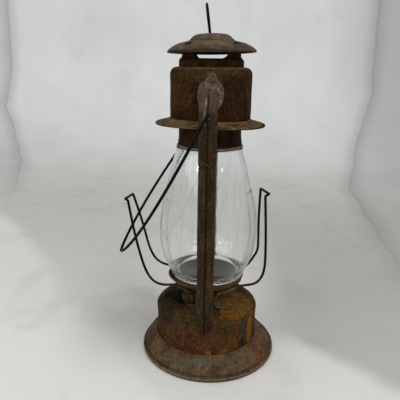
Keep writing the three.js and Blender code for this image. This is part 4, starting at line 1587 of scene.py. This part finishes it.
    def bracket_height(self, flat: Points, share: float) -> Points:
        """Returns how far the bracket stands off the chamber: its sheet, lip and dimpled rivet."""
        past = max(0.0, (share - self.bracket_edge) / (1 - self.bracket_edge))
        edge = self.bracket_tin * math.sqrt(max(0.0, 1 - past**2))
        ring = np.hypot(flat[:, 0], flat[:, 1])
        lip = self.lip * np.clip(1 - (ring - self.radius) / self.lip_wide, 0, 1) ** 2
        knob = np.hypot(flat[:, 0] - self.rivet[0], flat[:, 1] + self.elbow_z - self.rivet[1])
        head = self.rivet_head * np.sqrt(np.clip(1 - (knob / self.rivet_r) ** 2, 0, 1))
        head = head - self.dimple * np.exp(-((knob / self.dimple_r) ** 2))
        wave = Waves(9, 0.08, 84).at(np.c_[flat, flat[:, 0] * 0])
        return edge * (1 + wave) + lip + head * min(1.0, (1 - share) * 9)

    def ear(self, side: int) -> Piece:
        """Returns the ear for the bail, a hollow boss on a plate."""
        boss = rounded(line(*self.ear_boss), [0.2, 0.5, 0.3])
        verts, faces = lathe(dense(boss[:-1], 0.8), 56)
        laid = np.c_[verts[:, 2], verts[:, 1], -verts[:, 0] + self.pivot_z]
        plate = make_object("ear_plate", *self.saddle())
        ear = make_object(f"ear_{side}", laid, faces)
        merge(ear, plate)
        return ear

    def saddle(self) -> Shape:
        """Returns the plate that lies on the tube's outer face under the ear's boss."""
        high = np.linspace(self.pivot_z - self.saddle_below, self.pivot_z + self.saddle_above, 12)
        turns = np.radians(np.linspace(-self.saddle_turn, self.saddle_turn, 16))
        near, far = (np.c_[self.out + r * np.cos(turns), r * np.sin(turns)] for r in self.saddle_r)
        ring = np.vstack([near, far[::-1]])
        rows = [np.c_[ring, np.full(len(ring), z)] for z in high]
        return np.vstack(rows), tube_faces(len(ring), len(high))


@dataclass
class Chamber:
    """The air chamber and the canopy under it."""

    radius: float = 40.5
    low: float = 262.9
    top: float = 311.3
    shoulder: float = 7.0
    canopy_r: float = 55.5
    canopy_z: float = 257.1
    bore: float = 32.4
    canopy_tilt: float = -0.7
    tube_out: float = 62.4
    notch_r: float = 8.75

    def build(self, shop: Workshop) -> None:
        """Builds and dresses the pieces."""
        outline = rounded(
            line((self.radius, self.low), (self.radius, self.top), (self.bore, self.top)), [self.shoulder],
            6,
        )
        worn = Worn(Waves(34, 0.14, 91), (Dent(-38, 286, 14, 0.35), Dent(50, 292, 12, 0.3)))
        wall = shop.turned("air_chamber_wall", sheet(dense(outline, 1.6)[::-1], TIN), 240, worn, 50)
        skin = Rust(
            "chamber_rust", dark=(24, 12, 4), main=(42, 25, 9), light=(59, 37, 15), accent=(52, 26, 8),
            accent_share=0.5, seed=93.0, blotch=13, grain=0.6, streak=(1.0, 1.0, 0.5), speck=(140, 122, 90),
            speck_share=0.5,
            patches=(
                Patch((36, 0, 307), 30, (59, 48, 24), 0.5, 0.8, (0.8, 0.5, 2.2)),
                Patch((26, -30, 284), 22, (59, 37, 15), 0.5), Patch((33, 23, 288), 22, (37, 20, 6), 0.6),
                # painted highlight along the top shoulder
                Patch((0, 0, 310.4), 44, (86, 73, 51), 0.6, 0.1, (1, 1, 13)),
            ),
        )
        shop.keep(wall, skin.build(), Slot.CHAMBER, "air_chamber")
        self.build_canopy(shop)

    def build_canopy(self, shop: Workshop) -> None:
        """Builds the canopy with its notches for the tubes."""
        outline = rounded(
            line(
                (self.bore, 262.3), (41.3, 262.3), (46.0, 259.7),
                (self.canopy_r - 2.2, self.canopy_z + 1.4), (self.canopy_r, self.canopy_z + 1.0),
                (self.canopy_r, self.canopy_z - 0.7), (self.canopy_r - 1.7, self.canopy_z - 0.7),
                (self.canopy_r - 2.4, self.canopy_z + 0.5), (45.6, 258.9), (41.0, 261.4),
                (self.bore, 261.4),
            ),
            [2, 6, 1.0, 0.7, 0.7, 0.5, 0.5, 6, 2],
        )
        worn = Worn(Waves(36, 0.12, 95), tilt=self.canopy_tilt, tilt_z=259.5, saddle=(0.5, -1.0))
        canopy = shop.turned("canopy", dense(outline, 1.5), 240, worn)
        ends = [[(sign * self.tube_out, 0, z) for z in (240, 275)] for sign in (1, -1)]
        cut(canopy, [make_object("notch", *rod(*pair, self.notch_r)) for pair in ends])
        finish = Rust(
            "canopy_rust", dark=(52, 38, 24), main=(84, 66, 42), light=(104, 86, 60), accent=(66, 42, 21),
            accent_share=0.35, seed=97.0, blotch=12, speck_share=0.25,
            patches=(
                # painted shade under the canopy's rim
                Patch((0, 0, 255.4), 72, (26, 17, 10), 0.9, 0.1, (1, 1, 26), 0.4),
                Patch((0, 0, 261.5), 46, (98, 76, 52), 0.5, 0.05, (1, 1, 14)),
            ),
        )
        shop.keep(canopy, finish.build(), Slot.CANOPY, "canopy_flange")


@dataclass
class Hood:
    """The chimney that lifts, with its windows, cap and lift loop."""

    pipe_r: float = 31.9
    foot_r: float = 34.2
    foot_z: float = 232.9
    neck_r: float = 28.8
    neck_z: float = 321.0
    sill: float = 318.2
    window_top: float = 328.4
    window_half: float = 19.0
    sill_half: float = 13.4
    neck_top: float = 332.4
    brim_r: float = 43.6
    brim_z: float = 325.2
    dome_r: float = 22.6
    dome_low: float = 336.4
    dome_top: float = 342.0
    loop_top: float = 369.5
    loop_half: float = 13.0
    loop_wire: float = 1.15
    loop_aside: float = -1.9
    loop_lean: float = 7.5
    cap_tilt: float = 1.1
    slots: tuple[float, ...] = (-39, 46, 135, 228)

    def build(self, shop: Workshop) -> None:
        """Builds and dresses the pieces."""
        self.build_pipe(shop)
        self.build_cap(shop)
        self.build_loop(shop)

    def build_pipe(self, shop: Workshop) -> None:
        """Builds the chimney and cuts its two windows."""
        outside = rounded(
            line(
                (self.pipe_r - 0.8, self.foot_z), (self.foot_r, self.foot_z),
                (self.foot_r, self.foot_z + 1.7), (self.pipe_r + 1.1, self.foot_z + 2.4),
                (self.pipe_r, self.foot_z + 11), (self.pipe_r, self.sill - 1), (self.neck_r, self.neck_z),
                (self.neck_r, self.neck_top), (self.neck_r - TIN, self.neck_top),
            ),
            [0.7, 0.7, 0.6, 4.0, 0.4, 1.0, 2.0, 0.2],
        )
        inside = line(
            (self.neck_r - TIN, self.neck_z - 0.2), (self.pipe_r - TIN, self.sill - 1.2),
            (self.pipe_r - TIN, self.foot_z + 3),
        )
        loop = dense_loop(np.vstack([outside, inside]), 2.0)
        pipe = shop.turned("chimney_pipe", loop, 216, Worn(Waves(40, 0.08, 101)), 40)
        low = self.sill + 0.8
        half, sill_half, top = self.window_half, self.sill_half, self.window_top
        edge = rounded(
            line((0, top), (-half, top), (-sill_half, low), (sill_half, low), (half, top), (0, top)),
            [0.5, 6.5, 6.5, 0.5],
        )[:-1]
        tools = []
        for turn in (90, 270):
            verts = np.vstack(
                [np.c_[edge[:, 0], np.full(len(edge), y), edge[:, 1]] for y in (-15.0, -45.0)]
            )
            tool = make_object("window", verts, tube_faces(len(edge), 2))
            tool.data.transform(about_z(turn))
            tools.append(tool)
        cut(pipe, tools, 40)
        finish = Rust(
            "chimney_rust", dark=(22, 11, 4), main=(38, 23, 10), light=(54, 36, 17), accent=(50, 25, 9),
            accent_share=0.45, seed=103.0, blotch=11, streak=(1.0, 1.0, 0.6), speck_share=0.2,
            patches=(
                # painted highlight along the flared lip of the foot
                Patch((0, 0, 234.8), 60, (120, 118, 112), 0.8, 0.1, (1, 1, 60), 0.4),
                # painted shade at the foot's lower edge, under the lip
                Patch((0, 0, 232.7), 60, (10, 7, 5), 0.95, 0.1, (1, 1, 44), 0.2),
            ),
        )
        shop.keep(pipe, finish.build(), Slot.CHAMBER, "chimney", body=Body.HOOD)

    def build_cap(self, shop: Workshop) -> None:
        """Builds the crowned brim with its vent slots and the dome on it."""
        outline = rounded(
            line(
                (19.4, 335.6), (self.dome_r + 1, 335.2), (33, 332.9), (40, 329.1),
                (self.brim_r - 0.3, self.brim_z + 0.9), (self.brim_r, self.brim_z - 1.0),
                (self.brim_r - 1.6, self.brim_z - 1.0), (self.brim_r - 2.2, self.brim_z + 0.4),
                (39.5, 328.0), (32.7, 331.8), (self.dome_r + 0.8, 334.2), (19.4, 334.6),
            ),
            [2, 22, 9, 0.7, 0.6, 0.5, 0.5, 8, 21, 2],
        )
        dents = (
            Dent(34, 328, 10, 1.3), Dent(2, 331, 14, -0.7), Dent(-32, 328, 9, 0.7), Dent(150, 329, 10, 0.8),
        )
        worn = Worn(Waves(30, 0.12, 105), dents, self.cap_tilt, 330.4, saddle=(-0.5, 0.4), saddle_r=43)
        brim = shop.turned("brim", dense(outline, 1.4), 216, worn, 40)
        slots = []
        for turn in self.slots:
            slot = make_object("slot", *box_shape((3.4, 7.5, 12), (32.4, 0, 335)))
            slot.data.transform(about_z(turn))
            slots.append(slot)
        cut(brim, slots, 40)
        finish = Rust(
            "cap_rust", dark=(55, 42, 28), main=(76, 62, 45), light=(93, 79, 57), accent=(74, 51, 40),
            accent_share=0.4, seed=107.0, blotch=12, speck_share=0.25, rough=(0.55, 0.8), shine=0.2,
            patches=(
                Patch((35, -18, 329), 13, (80, 51, 41), 0.5), Patch((24, 26, 331), 13, (74, 53, 40), 0.5),
                Patch((34, 4, 331), 14, (97, 79, 53), 0.5), Patch((10, -34, 331), 16, (68, 58, 41), 0.5),
                # painted shade under the brim's edge, deepest at the front
                Patch((0, 0, 324.3), 60, (24, 17, 11), 0.95, 0.1, (1, 1, 21), 0.3),
                Patch((43, 2, 324.6), 24, (13, 9, 6), 0.95, 0.4, (1, 0.8, 8)),
                # painted shade round the two vent slots in front
                Patch((26.2, -21.3, 332.2), 6, (14, 10, 7), 1.0, 0.5, (1, 1, 1.6), 0.5),
                Patch((22.9, 23.7, 332.6), 6, (14, 10, 7), 1.0, 0.5, (1, 1, 1.6), 0.5),
                # painted shade in the dent at the right front
                Patch((30, 29, 329), 12, (46, 36, 30), 0.6),
                Patch((42, 2, 326.4), 26, (44, 36, 28), 0.6, 0.5, (1, 0.8, 5)),
            ),
        )
        material = finish.build()
        shop.keep(brim, material, Slot.CAP, "cap_brim", body=Body.HOOD)
        outline = rounded(
            line(
                (self.dome_r + 0.2, self.dome_low - 0.9), (self.dome_r - 2.0, self.dome_low + 0.9),
                (self.dome_r - 4.6, self.dome_low + 3.4), (14.5, self.dome_top - 0.6), (9, self.dome_top),
                (0, self.dome_top),
            ),
            [4, 3, 4, 12],
        )
        worn = Worn(Waves(22, 0.06, 109), (), self.cap_tilt, 336)
        dome = shop.turned("dome", sheet(dense(outline, 1.0)[::-1], TIN), 160, worn, 40)
        shop.keep(dome, material, Slot.CAP, "cap_dome", body=Body.HOOD)

    def build_loop(self, shop: Workshop) -> None:
        """Builds the lift loop."""
        rise = self.loop_top - self.loop_wire - self.dome_top
        corners = np.array(
            [
                (-6, 0, self.loop_wire * 0.6), (-self.loop_half, 0, 12), (-self.loop_half, 0, rise),
                (self.loop_half, 0, rise), (self.loop_half, 0, 12), (6, 0, self.loop_wire * 0.6),
            ],
            float,
        )
        path = dense(rounded(corners, [6, self.loop_half - 0.1, self.loop_half - 0.1, 6], 5), 1.5)
        t = math.radians(self.loop_lean)
        leaned = np.c_[
            path[:, 0], -path[:, 2] * math.sin(t) + self.loop_aside,
            path[:, 2] * math.cos(t) + self.dome_top + 0.2,
        ]
        black = blackened().build()
        loop = shop.wire("lift_loop_wire", leaned, self.loop_wire, black, 4.0)
        shop.keep(loop, black, Slot.WIRE, "lift_loop", body=Body.HOOD)


def blackened() -> Rust:
    """Returns the finish of the blackened iron wires."""
    return Rust(
        "wire_rust", dark=(8, 6, 5), main=(18, 14, 11), light=(36, 28, 21), accent=(30, 19, 12),
        accent_share=0.3, seed=111.0, blotch=7, speck_share=0.1, rough=(0.45, 0.75), metal=0.3, pits=0.12,
        patches=(Patch((0, 0, 86), 110, (60, 50, 32), 0.8, 0.1, (1, 1, 9)),),
    )


@dataclass(frozen=True)
class Guard:
    """A hairpin guard: its side, and its legs and tip as (distance from the axis, height)."""

    node: str
    body: Body
    side: int
    near: Outline
    far: Outline
    tip: Pair


REAR_GUARD = Guard(
    "rear_guard", Body.REAR, 1,
    (
        (38, 85.3), (45, 86.6), (52.4, 88.9), (58.3, 95.2), (61.2, 104.5), (61.9, 121), (60.8, 149),
        (58.5, 185.4),
    ),
    ((38.5, 85.2), (46, 91), (52.1, 100.6), (55.9, 108), (57, 120), (56.1, 147), (56.3, 184.6)),
    (62.3, 187.9),
)
FRONT_GUARD = Guard(
    "front_guard", Body.FRONT, -1,
    (
        (38, 83.4), (47.4, 83.1), (54, 84.9), (58.6, 88.2), (65.8, 99.4), (71.1, 115.4), (75.1, 131.2),
        (83.8, 176.7),
    ),
    (
        (40, 85.4), (48.4, 87.4), (54.5, 89.6), (59.4, 93), (64.7, 100.4), (69.1, 112), (73.2, 129.6),
        (85.3, 174.2),
    ),
    (86.8, 178.2),
)


@dataclass
class Wires:
    """The bail, the guards with their sleeves, and the stays."""

    bail_wire: float = 1.5
    pivot_z: float = 272.0
    bail_length: float = 186.3
    bail_half: float = 76.7
    arch_half: float = 70.5
    arch_start: float = 43.0
    arch_power: float = 1.35
    bail_swing: float = 31.5
    bail_twist: float = 4.1
    bail_bend: float = 2.2
    guard_bend: float = 1.2
    guard_wire: float = 1.35
    hinge_y: float = 29.0
    hinge_z: float = 83.9
    leg_top_x: float = 16.7
    leg_low_x: float = 21.0
    stay_wire: float = 1.5
    bail_end: float = 72.0
    sleeve: Outline = ((1.3, -14), (2.1, -14), (2.1, 14), (1.3, 14))
    stay: tuple[Triple, ...] = (
        (24.4, 31.4, 84.1), (33.2, 22, 84.1), (36, 13.2, 82.0), (36, 9.8, 76.5), (36, 9.8, 69),
        (36, 14.0, 65.8), (36, 17.6, 69.4),
    )

    def bail_path(self) -> Points:
        """Returns the bail's centre line: a pointed arch, twisted a little about its pivots."""
        t = np.linspace(0, math.pi / 2, 46)
        wide = self.arch_half * np.maximum(np.cos(t), 0) ** self.arch_power
        down = self.arch_start + (self.bail_length - self.arch_start) * np.sin(t) ** self.arch_power
        half = np.vstack([[(self.bail_end, 0, 0), (self.bail_half, 0, 0)], np.c_[wide, t * 0, -down]])
        half[-1][0] = 0
        flat = np.vstack([half, (half[:-1] * (-1, 1, 1))[::-1]])
        bends = [0 if p[2] < 0 else self.bail_bend for p in flat[1:-1]]
        path = dense(rounded(flat, bends, 8), 3.0)
        swing = np.radians(self.bail_twist * path[:, 0] / self.bail_half - self.bail_swing)
        y = -path[:, 2] * np.sin(swing)
        z = path[:, 2] * np.cos(swing)
        return np.c_[path[:, 0], y, z + self.pivot_z]

    def leg_x(self, z: float) -> float:
        """Returns how far from the middle a guard's leg stands at a height."""
        return self.leg_low_x + (self.leg_top_x - self.leg_low_x) * (max(z, 90) - 90) / 90

    def leg(self, points: Points, side: int, sign: int) -> Points:
        """Returns a guard's leg as a smooth line from its foot to its top."""
        fine = smooth_line(points, 44)
        x = [sign * self.leg_x(z) for z in fine[:, 1]]
        return np.c_[x, side * fine[:, 0], fine[:, 1]]

    def guard_path(self, guard: Guard) -> Points:
        """Returns a guard's centre line from pin to pin."""
        side = guard.side
        near = self.leg(np.array(guard.near), side, 1)
        far = self.leg(np.array(guard.far), side, -1)[::-1]
        tip = (self.leg_top_x - 0.6, side * guard.tip[0], guard.tip[1])
        feet = [(x, side * self.hinge_y, self.hinge_z) for x in (3, self.leg_low_x, -self.leg_low_x, -3)]
        corners = [*feet[:2], *near, tip, *far, *feet[2:]]
        bends = [0.0] * (len(corners) - 2)
        for i in (0, 1, len(near), len(near) + 1, len(near) + 2, len(corners) - 4, len(corners) - 3):
            bends[i] = self.guard_bend
        return dense(rounded(np.array(corners, float), bends, 8), 3.0)

    def build(self, shop: Workshop) -> None:
        """Builds and dresses the wires."""
        black = blackened().build()
        bail = shop.wire("bail_wire", self.bail_path(), self.bail_wire, black, 1.0, 20)
        shop.keep(bail, black, Slot.WIRE, "bail", body=Body.BAIL)
        for seed, guard in enumerate((REAR_GUARD, FRONT_GUARD), 2):
            wire = shop.wire(f"{guard.node}_wire", self.guard_path(guard), self.guard_wire, black, seed)
            shop.keep(wire, black, Slot.WIRE, guard.node, body=guard.body)
        sleeve = rounded(line(*self.sleeve), [0.3, 0.3])
        for i, side in enumerate((1, -1), 1):
            verts, faces = lathe(dense_loop(sleeve, 2), 32)
            laid = np.c_[verts[:, 2], verts[:, 1] + side * self.hinge_y, verts[:, 0] + self.hinge_z]
            shop.keep(make_object(f"sleeve_{i}", laid, faces), black, Slot.WIRE, f"guard_hinge_{i}")
        self.build_stays(shop)

    def build_stays(self, shop: Workshop) -> None:
        """Builds the four stays that curl down from the globe plate to the tank."""
        brown = Rust(
            "stay_rust", dark=(40, 30, 19), main=(70, 57, 40), light=(96, 82, 62), accent=(60, 42, 24),
            seed=121.0, blotch=6, speck_share=0.2,
        ).build()
        path = dense(rounded(np.array(self.stay), [8, 4, 5, 3.2, 3], 8), 1.2)
        for i, (sx, sy) in enumerate(((1, 1), (1, -1), (-1, 1), (-1, -1)), 1):
            stay = shop.wire(f"stay_{i}", path * (sx, sy, 1), self.stay_wire, brown, 10.0 + i, 14)
            shop.keep(stay, brown, Slot.WIRE, f"stay_wire_{i}")


@dataclass
class Studio:
    """The pale floor and backdrop, the soft light and the camera at the photograph's place."""

    focal: float = 39.6
    distance: float = 452.0
    height: float = 311.4
    turn: float = 1.8
    pitch: float = 16.852
    yaw: float = 1.1787
    roll: float = 0.8166
    front: float = 900.0
    rear: float = -1250.0
    wall_top: float = 1500.0
    half_wide: float = 1600.0
    wall_bend: float = 420.0
    aim: Triple = (0.0, 0.0, 0.17)
    lamps: tuple[tuple[str, Triple, float, float], ...] = (
        ("key", (0.9, 0.9, 1.5), 1.1, 16.0), ("fill", (0.8, -1.1, 1.0), 1.2, 7.0),
        ("glint_1", (0.654, -0.442, 0.448), 0.05, 0.35), ("glint_2", (0.597, 0.522, 0.438), 0.035, 0.14),
    )

    def build(self) -> None:
        """Sets the stage, the lights and the camera."""
        self.build_stage()
        self.build_lights()
        self.build_camera()

    def build_stage(self) -> None:
        """Builds a floor that curves up into a wall behind the lantern."""
        curve = line((self.front, 0), (self.rear, 0), (self.rear, self.wall_top))
        curve = rounded(curve, [self.wall_bend], 4)
        verts = np.vstack(
            [
                np.c_[curve[:, 0], np.full(len(curve), y), curve[:, 1]]
                for y in (-self.half_wide, self.half_wide)
            ]
        )
        n = len(curve)
        faces = [(k, k + 1, n + k + 1, n + k) for k in range(n - 1)]
        mesh = new_mesh("backdrop", verts, [], faces)
        mesh.shade_smooth()
        mesh.materials.append(Backdrop().build())
        linked("backdrop", mesh)

    def build_lights(self) -> None:
        """Sets a soft sky, two large lamps and two small ones that glint in the glass."""
        world = bpy.data.worlds.new("soft_sky")
        bpy.context.scene.world = world
        world.use_nodes = True
        sky = world.node_tree.nodes["Background"]
        sky.inputs["Color"].default_value = (0.96, 0.98, 1.0, 1.0)
        sky.inputs["Strength"].default_value = 0.55
        for lamp in self.lamps:
            self.lamp(*lamp)

    def lamp(self, name: str, place: Triple, size: float, power: float) -> None:
        """Adds a square lamp that faces the lantern; lengths are in metres, the power in watts."""
        light = bpy.data.lights.new(name, "AREA")
        light.size = size
        light.energy = power
        obj = linked(name, light)
        obj.location = place
        obj.rotation_euler = (Vector(self.aim) - Vector(place)).to_track_quat("-Z", "Y").to_euler()

    def build_camera(self) -> None:
        """Puts the camera where the photograph was taken from."""
        az, pitch, yaw, roll = (math.radians(a) for a in (self.turn, self.pitch, self.yaw, self.roll))
        ahead = Vector((-math.cos(az), -math.sin(az), 0))
        right = Vector((-math.sin(az), math.cos(az), 0))
        level = math.cos(yaw) * ahead - math.sin(yaw) * right
        side = math.cos(yaw) * right + math.sin(yaw) * ahead
        up = Vector((0, 0, 1))
        look = math.cos(pitch) * level - math.sin(pitch) * up
        top = math.cos(pitch) * up + math.sin(pitch) * level
        x = math.cos(roll) * side + math.sin(roll) * top
        y = -math.sin(roll) * side + math.cos(roll) * top
        camera = bpy.data.cameras.new("camera")
        camera.sensor_width = 36
        camera.lens = self.focal
        camera.clip_start = 0.01
        obj = linked("camera", camera)
        place = Vector((self.distance * math.cos(az), self.distance * math.sin(az), self.height)) * MM
        obj.matrix_world = Matrix.Translation(place) @ Matrix((x, y, -look)).transposed().to_4x4()
        bpy.context.scene.camera = obj


def main() -> None:
    """Builds the lantern's looks over its frame, then the studio."""
    logging.basicConfig(level=logging.INFO, format="%(name)s %(message)s")
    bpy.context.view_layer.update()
    shop = Workshop()
    for part in (Tank(), Burner(), Globe(), SideTubes(), Chamber(), Hood(), Wires()):
        LOG.info("building %s", type(part).__name__)
        part.build(shop)
    Studio().build()
    bpy.context.scene.view_settings.view_transform = "Standard"
    bpy.context.view_layer.update()


if __name__ == "__main__":
    main()
